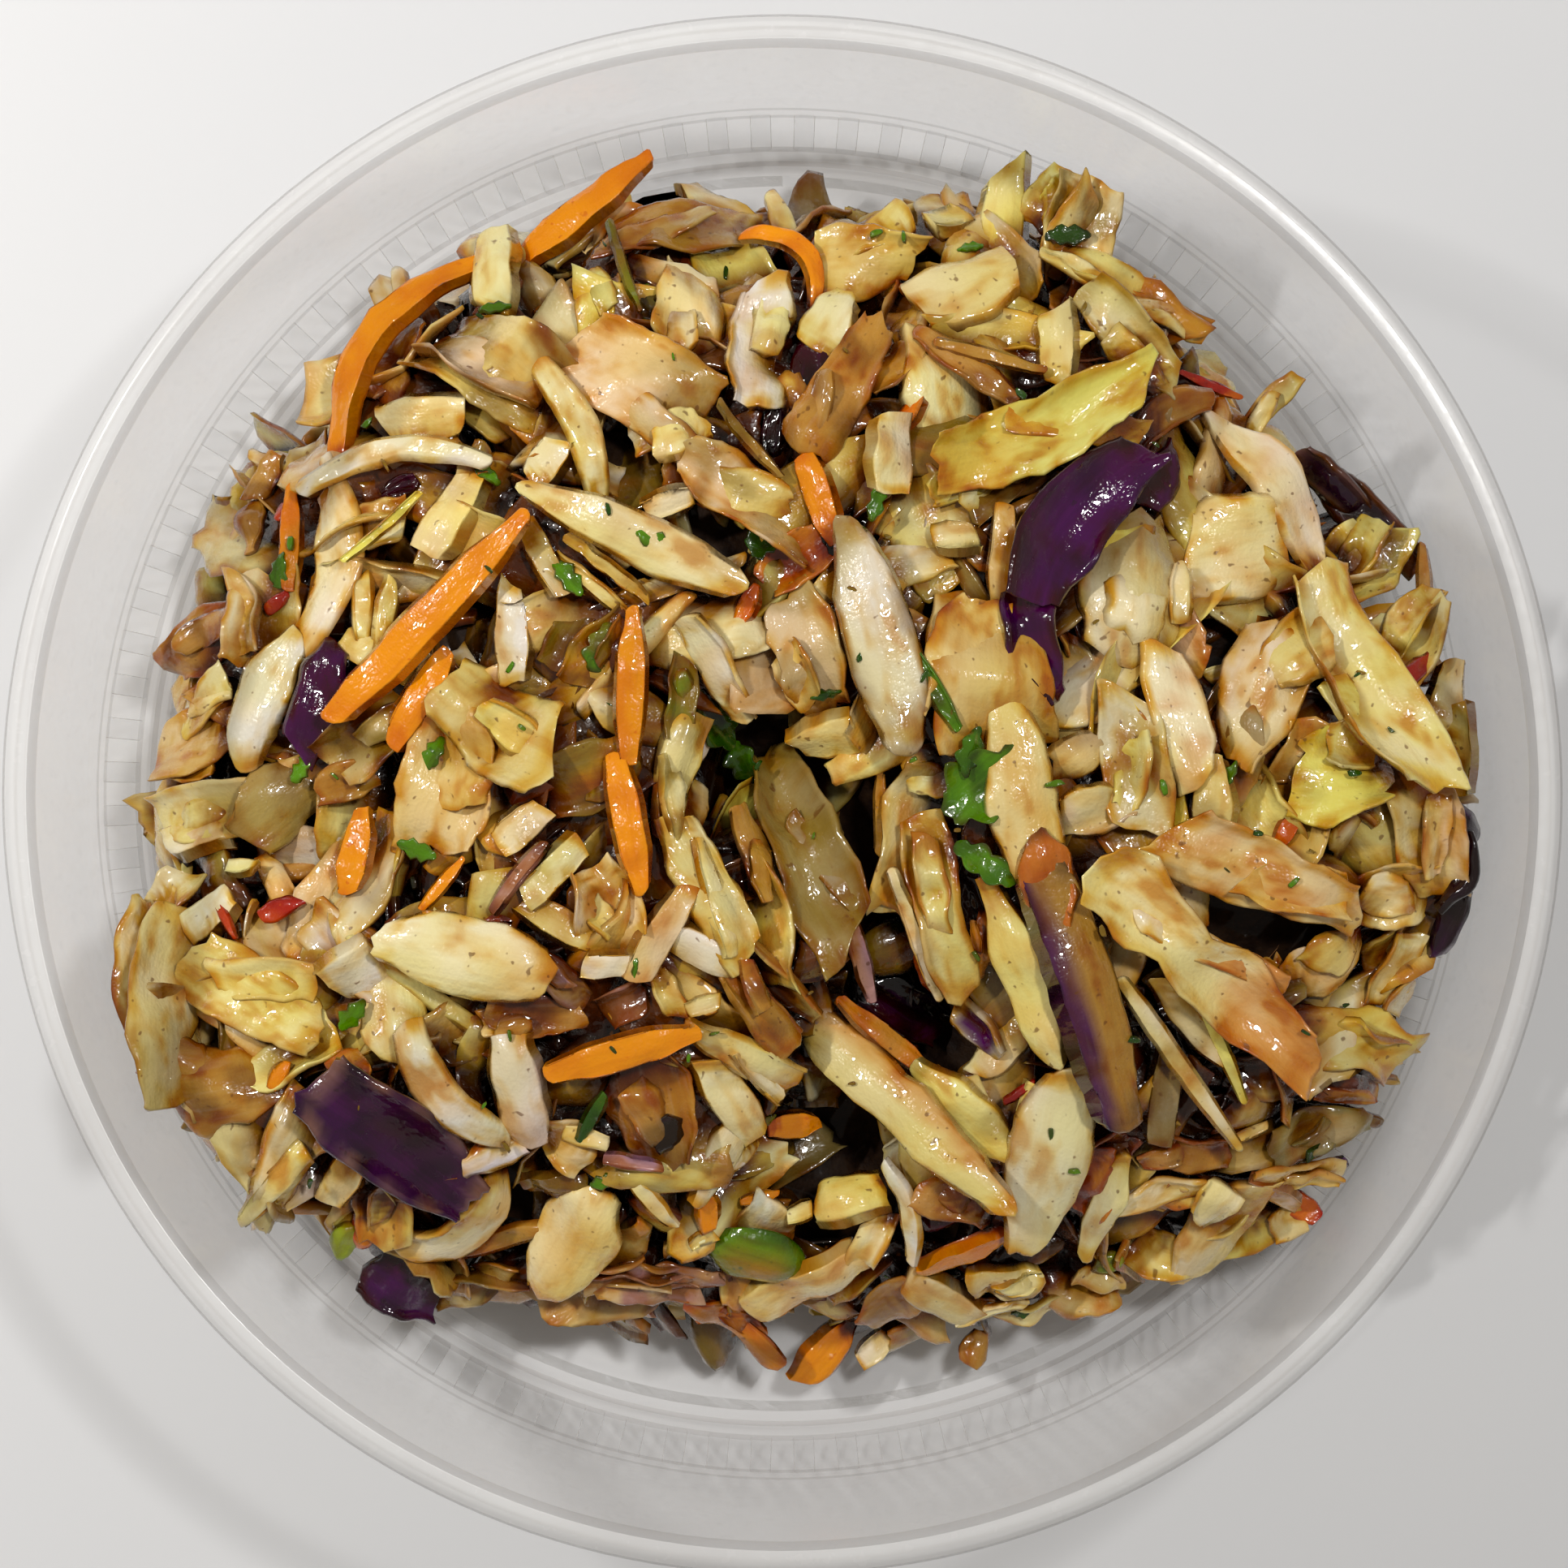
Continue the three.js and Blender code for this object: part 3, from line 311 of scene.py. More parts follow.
# Smaller pieces between them, most of them cabbage
SMALL_PIECES = (
    Piece(C.LEAF, 740, 950, 8, 6, 20, 0.4, T.OLIVE, T.YOLK, 0.5),
    Piece(C.LEAF, 440, 640, 8.3, 6.6, 10, 0.4, T.WHITE, T.BEIGE, 0.5),
    Piece(C.LEAF, 1560, 1340, 7.5, 5.5, 20, 0.4, T.OLIVE, T.BEIGE, 0.5),
    Piece(C.RIB, 1815, 850, 6, 3.5, 78, 1.2, T.CREAM, T.OLIVE, 0.4),
    Piece(C.RIB, 525, 520, 6.4, 4.5, 5, 0.8, T.CREAM, T.TAN, 0.3),
    Piece(C.STRIP, 1440, 510, 7, 2.8, 30, 1.8, T.TAN, T.BROWN, 0.4, bend=1),
    Piece(C.RIB, 555, 640, 7, 4.6, 58, 1, T.CREAM, T.PINK, 0.3),
    Piece(C.RIB, 610, 335, 7, 4, 86, 1, T.WHITE, T.BEIGE, 0.3),
    Piece(C.LEAF, 1335, 1440, 8, 5, 60, 1, T.AMBER, T.TAN, 0.4),
    Piece(C.LEAF, 1180, 1480, 7, 4, -25, 0.8, T.TAN, T.BROWN, 0.4),
    Piece(C.RIB, 1435, 1350, 7.5, 2.8, 86, 1.4, T.GREY, T.OLIVE, 0.4),
    Piece(C.LEAF, 1255, 1615, 8.5, 3, 3, 0.6, T.WHITE, T.TAN, 0.3),
    Piece(C.LEAF, 1600, 1438, 8, 2.8, 4, 1, T.BEIGE, T.TAN, 0.4),
    Piece(C.RIB, 1165, 1600, 7, 4.5, -30, 1, T.CREAM, T.TAN, 0.5),
    Piece(C.STRIP, 885, 820, 9, 3.6, -60, 1, T.WHITE, T.TAN, 0.4),
    Piece(C.RIB, 1820, 925, 7, 3.2, 85, 1.2, T.PALE, T.OLIVE, 0.5),
    Piece(C.HUSK, 485, 445, 7, 5, 60, -0.6, T.TAN, T.BROWN, 0.6),
    Piece(C.HUSK, 325, 590, 4, 3, 60, 0.2, T.TAN, T.BROWN, 0.6),
    Piece(C.HUSK, 310, 645, 4, 3, 85, 0.2, T.TAN, T.BROWN, 0.6),
    Piece(C.LEAF, 420, 965, 5, 3, 20, 0.6, T.TAN, T.BROWN, 0.6),
    Piece(C.HUSK, 1100, 450, 5, 4, 50, 0.6, T.TAN, T.BROWN, 0.6),
    Piece(C.LEAF, 985, 690, 5, 4, 40, 0, T.AMBER, T.RUST, 0.6),
    Piece(C.LEAF, 690, 805, 6, 5, 70, 0, T.OLIVE, T.BROWN, 0.5),
    Piece(C.HUSK, 930, 1060, 7, 3.2, -60, 1.2, T.TAN, T.BROWN, 0.5),
    Piece(C.LEAF, 430, 1320, 4, 3, 30, 2, T.AMBER, T.TAN, 0.4),
    Piece(C.CHUNK, 680, 1460, 5, 3, 10, 1.4, T.OLIVE, T.BROWN, 0.5),
    Piece(C.HUSK, 960, 1345, 3, 3, 60, 1.4, T.OLIVE, T.YOLK, 0.5),
    Piece(C.HUSK, 1010, 1180, 5, 4, 20, 0, T.BROWN, T.OLIVE, 0.5),
    Piece(C.LEAF, 1100, 1600, 5, 4, 40, 0.6, T.TAN, T.BROWN, 0.5),
    Piece(C.HUSK, 1200, 1660, 3, 2.4, 70, 0, T.TAN, T.BROWN, 0.4),
    Piece(C.LEAF, 590, 1580, 6, 4.5, 10, 0, T.OLIVE, T.BEIGE, 0.5),
    Piece(C.HUSK, 1205, 1170, 6, 2, 85, 1.4, T.AMBER, T.BROWN, 0.6),
    Piece(C.STRIP, 475, 650, 7.7, 1, 42, 3.6, T.YELLOW, T.OLIVE, 0.4),
    Piece(C.STRIP, 768, 335, 7.6, 1, -68, 2.4, T.OLIVE, T.GREEN, 0.4),
    Piece(C.STRIP, 922, 545, 7.5, 1.1, -50, 2.4, T.OLIVE, T.TAN, 0.4),
    Piece(C.STRIP, 1220, 440, 8.9, 1.3, -15, 2, T.TAN, T.OLIVE, 0.4),
    Piece(C.STRIP, 1755, 730, 8, 1.5, 90, 1.6, T.TAN, T.BROWN, 0.4),
    Piece(C.STRIP, 750, 700, 8.3, 1.4, -40, 1.4, T.BEIGE, T.TAN, 0.4),
    Piece(C.STRIP, 730, 722, 8.3, 1.4, -40, 1, T.CREAM, T.TAN, 0.4),
    Piece(C.STRIP, 1150, 850, 7, 1.6, -60, 3.4, T.GREEN, T.PINE, 0.4),
    Piece(C.STRIP, 1085, 1000, 6, 1.2, 90, 0.4, T.TAN, T.BROWN, 0.4),
    Piece(C.STRIP, 805, 1480, 5.2, 1.6, -50, 2.6, T.CREAM, T.TAN, 0.4),
    Piece(C.STRIP, 620, 1525, 8, 2, 18, 0.6, T.TAN, T.OLIVE, 0.5),
    Piece(C.STRIP, 1060, 1180, 6.5, 1.6, -75, 0.6, T.PINK, T.TAN, 0.4),
    Piece(C.STRIP, 1130, 1150, 11, 1.4, -68, 2.8, T.CREAM, T.OLIVE, 0.4),
    Piece(C.STRIP, 1500, 1280, 10, 1.2, -65, 2, T.YELLOW, T.OLIVE, 0.4),
    Piece(C.STRIP, 565, 1505, 10, 4.5, 40, 1.4, T.CREAM, T.YOLK, 0.5, bend=-3),
    Piece(C.PETAL, 1090, 1280, 10, 2, -38, 3.2, T.AMBER, T.TAN, 0.5),
    Piece(C.STRIP, 450, 750, 5.7, 1.9, 90, 1.4, T.CREAM, T.YELLOW, 0.4),
    Piece(C.STRIP, 475, 760, 5.7, 1.9, 86, 1.2, T.PALE, T.OLIVE, 0.4),
    Piece(C.RIB, 245, 1035, 5, 4, 10, 0.8, T.CREAM, T.TAN, 0.4),
    Piece(C.RIB, 265, 1130, 5, 4, 40, 0.8, T.WHITE, T.BEIGE, 0.4),
    Piece(C.RIB, 300, 1068, 2, 2, 0, 1.6, T.WHITE, T.PINK, 0.3),
    Piece(C.RIB, 675, 570, 3.8, 3.5, 60, 1.2, T.WHITE, T.BEIGE, 0.4),
    Piece(C.CHUNK, 838, 532, 4.8, 4.1, 20, 1.6, T.PALE, T.TAN, 0.4),
    Piece(C.RIB, 1095, 560, 5.4, 3.8, 90, 1.6, T.CREAM, T.AMBER, 0.4),
    Piece(C.RIB, 825, 620, 3.5, 3.2, 20, 1.2, T.CREAM, T.TAN, 0.4),
    Piece(C.RIB, 1085, 295, 4.5, 4.5, 50, 1, T.CREAM, T.TAN, 0.3),
    Piece(C.RIB, 1165, 275, 3.5, 3.5, 20, 0.8, T.PALE, T.OLIVE, 0.3),
    Piece(C.RIB, 1305, 425, 6, 3.8, 90, 1.6, T.CREAM, T.OLIVE, 0.4),
    Piece(C.RIB, 1175, 665, 3, 3, 0, 1.2, T.CREAM, T.TAN, 0.4),
    Piece(C.RIB, 672, 690, 5.7, 2.5, -65, 1.4, T.PALE, T.OLIVE, 0.4),
    Piece(C.RIB, 1022, 905, 4.8, 4.5, 10, 1.2, T.CREAM, T.TAN, 0.3),
    Piece(C.RIB, 640, 1020, 4, 3, 40, 1, T.CREAM, T.TAN, 0.4),
    Piece(C.RIB, 680, 1080, 5.5, 3.5, 50, 1.4, T.WHITE, T.BEIGE, 0.3),
    Piece(C.RIB, 688, 1140, 5.5, 3.2, -30, 1.2, T.CREAM, T.TAN, 0.4),
    Piece(C.RIB, 1495, 975, 5.7, 4.1, 90, 1.6, T.PALE, T.OLIVE, 0.5),
    Piece(C.CHUNK, 1330, 930, 5, 4, 30, 1.4, T.BEIGE, T.BROWN, 0.5),
    Piece(C.CHUNK, 1350, 1000, 5, 4, 10, 1.2, T.CREAM, T.PINK, 0.3),
    Piece(C.RIB, 435, 1190, 5, 5, 20, 1, T.WHITE, T.BROWN, 0.3),
    Piece(C.RIB, 755, 1185, 4.8, 2.6, 0, 2.2, T.WHITE, T.TAN, 0.3),
    Piece(C.RIB, 870, 1165, 5.5, 4, -20, 1.6, T.WHITE, T.TAN, 0.3),
    Piece(C.RIB, 870, 1240, 2.2, 2, 20, 1.6, T.CREAM, T.TAN, 0.3),
    Piece(C.RIB, 865, 1525, 2, 1.5, 20, 1.6, T.CREAM, T.TAN, 0.3),
    Piece(C.RIB, 985, 1495, 2.2, 2, 20, 1.4, T.CREAM, T.YOLK, 0.3),
    Piece(C.RIB, 1098, 1110, 3.6, 1.8, 0, 1.4, T.WHITE, T.TAN, 0.2),
    Piece(C.RIB, 1270, 1360, 3, 2.5, 80, 1.6, T.CREAM, T.TAN, 0.3),
    Piece(C.RIB, 1570, 1465, 4.5, 2.4, -30, 1.6, T.PINK, T.WHITE, 0.5),
    Piece(C.RIB, 1540, 1395, 2.5, 1.5, 20, 1.6, T.CREAM, T.TAN, 0.3),
    Piece(C.RIB, 1075, 1662, 3.4, 2.4, 40, 0.8, T.CREAM, T.AMBER, 0.3),
    Piece(C.LEAF, 260, 865, 6, 3.2, 50, 0.6, T.CREAM, T.TAN, 0.5),
    Piece(C.LEAF, 250, 920, 5.7, 5.4, 20, 0.4, T.BEIGE, T.TAN, 0.5),
    Piece(C.LEAF, 735, 365, 5.7, 3.8, 90, 1, T.YELLOW, T.OLIVE, 0.5),
    Piece(C.LEAF, 1295, 230, 6, 4, 60, 1.4, T.YELLOW, T.WHITE, 0.4, W.MIDDLE),
    Piece(C.LEAF, 1440, 390, 6.4, 3.2, -20, 1, T.CREAM, T.TAN, 0.4),
    Piece(C.LEAF, 1180, 600, 5, 3, 30, 0.8, T.YELLOW, T.OLIVE, 0.4),
    Piece(C.LEAF, 1570, 490, 5.4, 2.2, 40, 1, T.PALE, T.TAN, 0.3),
    Piece(C.LEAF, 1630, 1190, 6, 5, 30, 0.4, T.BEIGE, T.AMBER, 0.4),
    Piece(C.LEAF, 1720, 1195, 6, 5, 70, 0.4, T.CREAM, T.TAN, 0.4),
    Piece(C.LEAF, 745, 800, 7, 3.2, 50, 0.8, T.OLIVE, T.YOLK, 0.5),
    Piece(C.LEAF, 840, 860, 6, 2.5, 80, 1, T.OLIVE, T.GREEN, 0.5),
    Piece(C.LEAF, 750, 1120, 6, 5.5, -60, 0.8, T.CREAM, T.TAN, 0.4),
    Piece(C.STRIP, 1455, 730, 5, 2, 90, 2.6, T.CREAM, T.BROWN, 0.4),
    Piece(C.LEAF, 210, 1120, 7, 4, 60, 0.6, T.PALE, T.OLIVE, 0.4),
    Piece(C.LEAF, 470, 1480, 6, 5, 90, 0.4, T.PALE, T.TAN, 0.4),
    Piece(C.LEAF, 690, 1205, 6, 3, -40, 1, T.MAUVE, T.BEIGE, 0.5),
    Piece(C.LEAF, 770, 1238, 4, 3, 20, 1, T.MAUVE, T.PINK, 0.4),
    Piece(C.LEAF, 825, 1228, 4, 2, -60, 1.4, T.CREAM, T.TAN, 0.4),
    Piece(C.FAN, 935, 1245, 8, 3.5, -50, 1.8, T.TAN, T.BROWN, 0.5),
    Piece(C.LEAF, 905, 1425, 6, 3, 55, 0.8, T.WHITE, T.BEIGE, 0.3),
    Piece(C.LEAF, 700, 1410, 5.5, 4, -30, 1.8, T.CREAM, T.YOLK, 0.6, W.MIDDLE),
    Piece(C.LEAF, 1070, 1530, 5, 2.5, 60, 1, T.CREAM, T.YOLK, 0.4),
    Piece(C.RIB, 1045, 1480, 6, 4.5, 15, 1.2, T.PALE, T.YOLK, 0.4),
    Piece(C.CHUNK, 1235, 1580, 6.5, 3.5, 0, 1.6, T.PALE, T.BROWN, 0.4),
    Piece(C.LEAF, 1460, 1420, 8, 3.2, -8, 1.2, T.TAN, T.OLIVE, 0.4),
    Piece(C.LEAF, 1430, 1545, 6, 4, -10, 1, T.PALE, T.OLIVE, 0.4),
    Piece(C.LEAF, 1660, 1340, 7, 2.6, -15, 0.6, T.TAN, T.AMBER, 0.4),
    Piece(C.LEAF, 760, 1565, 5, 3, 15, 0.4, T.MAUVE, T.BEIGE, 0.5),
    Piece(C.LEAF, 840, 1570, 6, 2.5, 0, 0.4, T.MAUVE, T.TAN, 0.5),
    Piece(C.BEAN, 1095, 1170, 5.5, 5, 20, -1, T.OLIVE, T.BROWN, 0.6),
)

# Red cabbage, onion, carrot, parsley and pepper in small bits
BRIGHT_PIECES = (
    Piece(C.PURPLE, 495, 605, 3, 2, 30, 0.6, T.PURPLE, T.NIGHT, 0.4),
    Piece(C.PURPLE, 1015, 450, 5.5, 4, 76, 0, T.PURPLE, T.NIGHT, 0.3, W.TAIL),
    Piece(C.RIB, 1025, 400, 5.5, 4.6, 60, 1, T.PALE, T.WHITE, 0.4),
    Piece(C.PURPLE, 825, 1390, 3, 3, 40, 1.6, T.SOOT, T.PURPLE, 0.4),
    Piece(C.PURPLE, 1640, 1440, 3, 1.8, 30, 0.8, T.PURPLE, T.NIGHT, 0.4),
    Piece(C.PURPLE, 1210, 1270, 6, 3.5, -50, 0.8, T.PURPLE, T.WHITE, 0.5, W.RIM),
    Piece(C.PURPLE, 1105, 1240, 7, 5, -30, -1.2, T.NIGHT, T.PURPLE, 0.4),
    Piece(C.PURPLE, 1160, 1500, 3.6, 2.6, 20, 0, T.PURPLE, T.NIGHT, 0.4),
    Piece(C.PURPLE, 1425, 590, 4.6, 3.4, 60, 0.6, T.PURPLE, T.NIGHT, 0.5),
    Piece(C.PURPLE, 955, 530, 5, 2, 80, 0, T.NIGHT, T.PURPLE, 0.5),
    Piece(C.STRIP, 638, 1080, 7, 1.5, 52, 2.4, T.PINK, T.PURPLE, 0.6, W.RIM),
    Piece(C.STRIP, 780, 1430, 4.5, 1.4, -10, 2.4, T.PINK, T.PURPLE, 0.5, W.RIM),
    Piece(C.CARROT, 360, 665, 8.3, 2.2, 90, 1, T.ORANGE, T.RUST, 0.5),
    Piece(C.CARROT, 545, 1090, 5.1, 1.3, 50, 1.6, T.ORANGE, T.RUST, 0.4),
    Piece(C.CARROT, 922, 745, 3, 2, 60, 0.8, T.RUST, T.ORANGE, 0.4),
    Piece(C.CARROT, 872, 1490, 3.2, 2.2, 90, 1.2, T.ORANGE, T.RUST, 0.4),
    Piece(C.CARROT, 935, 1475, 3, 1.2, 10, 0.8, T.ORANGE, T.RUST, 0.5),
    Piece(C.CARROT, 975, 1385, 4, 2.4, 10, 1.8, T.ORANGE, T.RUST, 0.3),
    Piece(C.CARROT, 1143, 1200, 4, 1.8, -65, 0.8, T.ORANGE, T.RUST, 0.5),
    Piece(C.CARROT, 878, 1615, 3, 2, 20, 0.4, T.ORANGE, T.RUST, 0.4),
    Piece(C.CARROT, 620, 1130, 5, 1.2, 0, 0.6, T.RUST, T.BROWN, 0.4),
    Piece(C.CARROT, 1490, 475, 5.4, 1, -20, 1.2, T.RED, T.ORANGE, 0.5),
    Piece(C.CARROT, 1125, 505, 3.4, 2.2, 60, 0.4, T.RUST, T.ORANGE, 0.4),
    Piece(C.CARROT, 1590, 1010, 5, 1.8, 60, 0.4, T.RUST, T.ORANGE, 0.4),
    Piece(C.CARROT, 345, 1325, 2.6, 1.6, 60, 0.8, T.ORANGE, T.RUST, 0.4),
    Piece(C.HERB, 345, 705, 3, 2, 80, 1.8, T.GREEN, T.PINE, 0.5),
    Piece(C.HERB, 610, 380, 2.6, 1.2, 10, 2.6, T.GREEN, T.PINE, 0.5),
    Piece(C.HERB, 233, 948, 2, 1.5, 60, 1.4, T.GREEN, T.PINE, 0.5),
    Piece(C.HERB, 535, 930, 3, 2, 60, 1.8, T.GREEN, T.PINE, 0.5),
    Piece(C.HERB, 515, 1048, 3, 2, -20, 1.6, T.GREEN, T.PINE, 0.5),
    Piece(C.HERB, 375, 945, 2.5, 2, 60, 1.4, T.GREEN, T.PINE, 0.5),
    Piece(C.HERB, 797, 372, 3, 2, 90, 1, T.GREEN, T.OLIVE, 0.5),
    Piece(C.HERB, 1080, 618, 3.5, 1.6, 75, 2, T.GREEN, T.PINE, 0.5),
    Piece(C.HERB, 940, 670, 3, 3, 20, 1.6, T.PINE, T.GREEN, 0.3),
    Piece(C.HERB, 1315, 290, 3.5, 2.2, 0, 2.8, T.PINE, T.GREEN, 0.5),
    Piece(C.HERB, 880, 890, 5, 4, -50, 1.2, T.PINE, T.GREEN, 0.4),
    Piece(C.HERB, 915, 940, 4, 3, -60, 0.6, T.PINE, T.GREEN, 0.3),
    Piece(C.HERB, 1215, 1065, 5.5, 2.8, -35, 3.6, T.GREEN, T.PINE, 0.6),
    Piece(C.HERB, 1195, 925, 4, 2.4, 70, 3.2, T.PINE, T.GREEN, 0.5),
    Piece(C.HERB, 435, 1250, 3, 2, 50, 1.4, T.GREEN, T.PINE, 0.5),
    Piece(C.STRIP, 730, 1375, 4.2, 1.4, 60, 2.6, T.PINE, T.GREEN, 0.4),
    Piece(C.HERB, 745, 1455, 2.4, 1.5, 20, 1.8, T.GREEN, T.PINE, 0.5),
    Piece(C.HERB, 782, 1190, 2.5, 0.8, 90, 3, T.GREEN, T.PINE, 0.5),
    Piece(C.HERB, 940, 1385, 2.4, 1.2, 40, 1.8, T.LIME, T.GREEN, 0.5),
    Piece(C.STRIP, 1640, 1405, 5, 1.3, 30, 1.8, T.PINE, T.SOOT, 0.4),
    Piece(C.HERB, 1257, 1618, 1.6, 0.9, 0, 2, T.PINE, T.GREEN, 0.4),
    Piece(C.HERB, 805, 665, 3, 1.8, -20, 4, T.GREEN, T.PINE, 0.4),
    Piece(C.HERB, 700, 712, 3.4, 2, -50, 1.8, T.GREEN, T.PINE, 0.5),
    Piece(C.HERB, 600, 585, 2.8, 1.6, -40, 1.6, T.GREEN, T.PINE, 0.4),
    Piece(C.HERB, 740, 800, 4, 3, 70, 1.4, T.GREEN, T.OLIVE, 0.5),
    Piece(C.HERB, 1018, 855, 2.4, 1.1, 10, 2.2, T.PINE, T.GREEN, 0.4),
    Piece(C.HERB, 1515, 955, 2.2, 1.2, 60, 2.6, T.GREEN, T.PINE, 0.4),
    Piece(C.HERB, 1195, 305, 2.2, 1.2, 10, 1.6, T.GREEN, T.PINE, 0.4),
    Piece(C.FLAKE, 340, 745, 2.5, 1.5, 40, 1.4, T.RED, T.RUST, 0.3),
    Piece(C.FLAKE, 350, 630, 2, 1.4, 60, 1.6, T.RED, T.RUST, 0.3),
    Piece(C.FLAKE, 345, 1120, 3.8, 1.9, 20, 1.6, T.RED, T.RUST, 0.3),
    Piece(C.FLAKE, 280, 1135, 3, 1, -60, 1.8, T.RED, T.RUST, 0.3),
    Piece(C.FLAKE, 1740, 830, 3.8, 1.9, 40, 2.8, T.RED, T.ORANGE, 0.5),
    Piece(C.FLAKE, 448, 1510, 3.5, 2.2, 90, 1, T.RED, T.ORANGE, 0.6),
    Piece(C.FLAKE, 1600, 1487, 3.8, 2.4, -35, 2, T.RED, T.ORANGE, 0.4),
    Piece(C.FLAKE, 1240, 1500, 3, 2.5, 90, 1, T.RED, T.NIGHT, 0.6),
    Piece(C.FLAKE, 1255, 1345, 3, 1, 35, 1.6, T.RED, T.NIGHT, 0.4),
    Piece(C.PETAL, 1289, 1084, 7, 5, -73, 4, T.TAN, T.RUST, 0.6, W.ALL, edge=T.BROWN),
    Piece(C.BEAN, 425, 1525, 3, 2.5, 70, 1.2, T.LIME, T.GREEN, 0.5),
    Piece(C.BEAN, 1365, 1555, 2.5, 2, 20, 1.2, T.LIME, T.GREEN, 0.5),
)


@dataclass(frozen=True)
class View:
    """The straight-down view that the places of the pieces are given in."""

    middle: float = 966.0
    per_millimetre: float = 16.48
    eye_x: float = 0.12
    eye_y: float = 0.79
    eye_height: float = 474.0
    rim_height: float = 44.0
    lens: float = 132.04

    def place(self, x: float, y: float, height: float) -> np.ndarray:
        """Point at a height that shows at a pixel.

        Args:
            x: Pixels from the left of the view.
            y: Pixels from the top of the view.
            height: Height of the point in millimetres.

        Returns:
            The point in millimetres.
        """
        near = self.eye_height - height
        scale = near / (self.eye_height - self.rim_height) / self.per_millimetre
        across = (x - self.middle) * scale + self.eye_x
        up = (self.middle - y) * scale + self.eye_y
        return np.array([across, up, height])


@dataclass(frozen=True)
class CupSizes:
    """Sizes of the cup in millimetres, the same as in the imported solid."""

    rim_radius: float = 58.5
    height: float = 44.0
    wall: float = 0.8
    lip_inner_radius: float = 56.4
    skirt_depth: float = 3.0
    skirt_wall: float = 0.9
    wall_top_radius: float = 56.0
    wall_foot_radius: float = 55.1
    ledge_top: float = 11.8
    band_top: float = 10.4
    band_bottom: float = 2.8
    band_top_radius: float = 54.6
    band_bottom_radius: float = 52.9
    floor_top: float = 1.6
    floor_radius: float = 51.8
    foot_inner_radius: float = 49.0
    foot_outer_radius: float = 51.4
    rib_count: int = 96
    rib_width: float = 1.7
    rib_depth: float = 0.35
    gap: float = 0.35

    def free_radius(self, z: np.ndarray) -> np.ndarray:
        """Radius of the free space inside the cup at each height."""
        band_inner = self.rib_depth + self.gap
        heights = [self.floor_top, self.band_bottom, self.band_top, self.ledge_top, self.height]
        radii = [
            self.floor_radius - self.gap,
            self.band_bottom_radius - band_inner,
            self.band_top_radius - band_inner,
            self.wall_foot_radius - self.gap,
            self.wall_top_radius - self.gap,
        ]
        return np.interp(z, heights, radii)


@dataclass(frozen=True)
class Mound:
    """Shape of the heap: how far it reaches and how high it stands there, every 30 degrees."""

    reach: tuple[float, ...] = (52.6, 47.5, 49.5, 47.5, 49.5, 49, 49.5, 52.6, 46, 42.5, 46, 52)
    edge: tuple[float, ...] = (21, 14, 15, 8, 10, 11, 12, 25, 8, 5, 6, 13)
    hollows: tuple[tuple[float, float, float, float], ...] = (
        (-2, 2, 6, 4.5),
        (4, -4, 6, 4.5),
        (10, -17, 7, 4.5),
        (3, -26, 7, 4.5),
    )
    top: float = 28.0
    belly: float = 2.6
    shoulder: float = 0.7
    lie: float = 0.7
    steepest: float = 1.0

    def rim(self, angle: np.ndarray) -> tuple[np.ndarray, np.ndarray]:
        """Reach and edge height in each direction, smooth between the named ones."""
        count = len(self.reach)
        place = (np.asarray(angle) / (2 * np.pi) % 1) * count
        before = np.floor(place).astype(int) % count
        after = (before + 1) % count
        share = place - np.floor(place)
        share = share * share * (3 - 2 * share)
        reach = np.array(self.reach)
        edge = np.array(self.edge)
        return (
            reach[before] * (1 - share) + reach[after] * share,
            edge[before] * (1 - share) + edge[after] * share,
        )

    def height(self, x: np.ndarray, y: np.ndarray) -> np.ndarray:
        """Height of the heap's outer surface at places in plan."""
        reach, edge = self.rim(np.arctan2(y, x))
        out = np.minimum(np.hypot(x, y) / reach, 1)
        swell = (1 - out**self.belly) ** self.shoulder
        top = edge + (self.top - edge) * swell
        for hollow_x, hollow_y, deep, spread in self.hollows:
            away = ((x - hollow_x) ** 2 + (y - hollow_y) ** 2) / (2 * spread**2)
            top = top - deep * np.exp(-away)
        return top

    def climb(self, place: np.ndarray, way: np.ndarray) -> float:
        """How steeply the heap climbs along a level direction, as a share."""
        ahead = self.height(place[0] + way[0], place[1] + way[1])
        behind = self.height(place[0] - way[0], place[1] - way[1])
        slope = (ahead - behind) / 2
        return float(np.clip(slope, -self.steepest, self.steepest) * self.lie)


@dataclass
class Ripple:
    """Smooth random relief from a few crossing waves, about -1 to 1."""

    rng: np.random.Generator
    shortest: float
    longest: float
    waves: int = 6
    across: np.ndarray = field(init=False)
    along: np.ndarray = field(init=False)
    start: np.ndarray = field(init=False)

    def __post_init__(self) -> None:
        """Draws the waves."""
        turn = self.rng.uniform(0, 2 * np.pi, self.waves)
        length = self.rng.uniform(self.shortest, self.longest, self.waves)
        self.along = np.cos(turn) * 2 * np.pi / length
        self.across = np.sin(turn) * 2 * np.pi / length
        self.start = self.rng.uniform(0, 2 * np.pi, self.waves)

    def at(self, along: np.ndarray, across: np.ndarray) -> np.ndarray:
        """Relief at points of a surface, in the unit that the lengths are in."""
        waves = np.outer(along, self.along) + np.outer(across, self.across) + self.start
        return np.sin(waves).sum(axis=1) / math.sqrt(2 * self.waves)


def smooth(low: float, high: float, value: np.ndarray) -> np.ndarray:
    """Smooth step from 0 at low to 1 at high."""
    share = np.clip((value - low) / (high - low), 0, 1)
    return share * share * (3 - 2 * share)


def unit(vectors: np.ndarray) -> np.ndarray:
    """Vectors scaled to length 1."""
    return vectors / np.linalg.norm(vectors, axis=-1, keepdims=True)


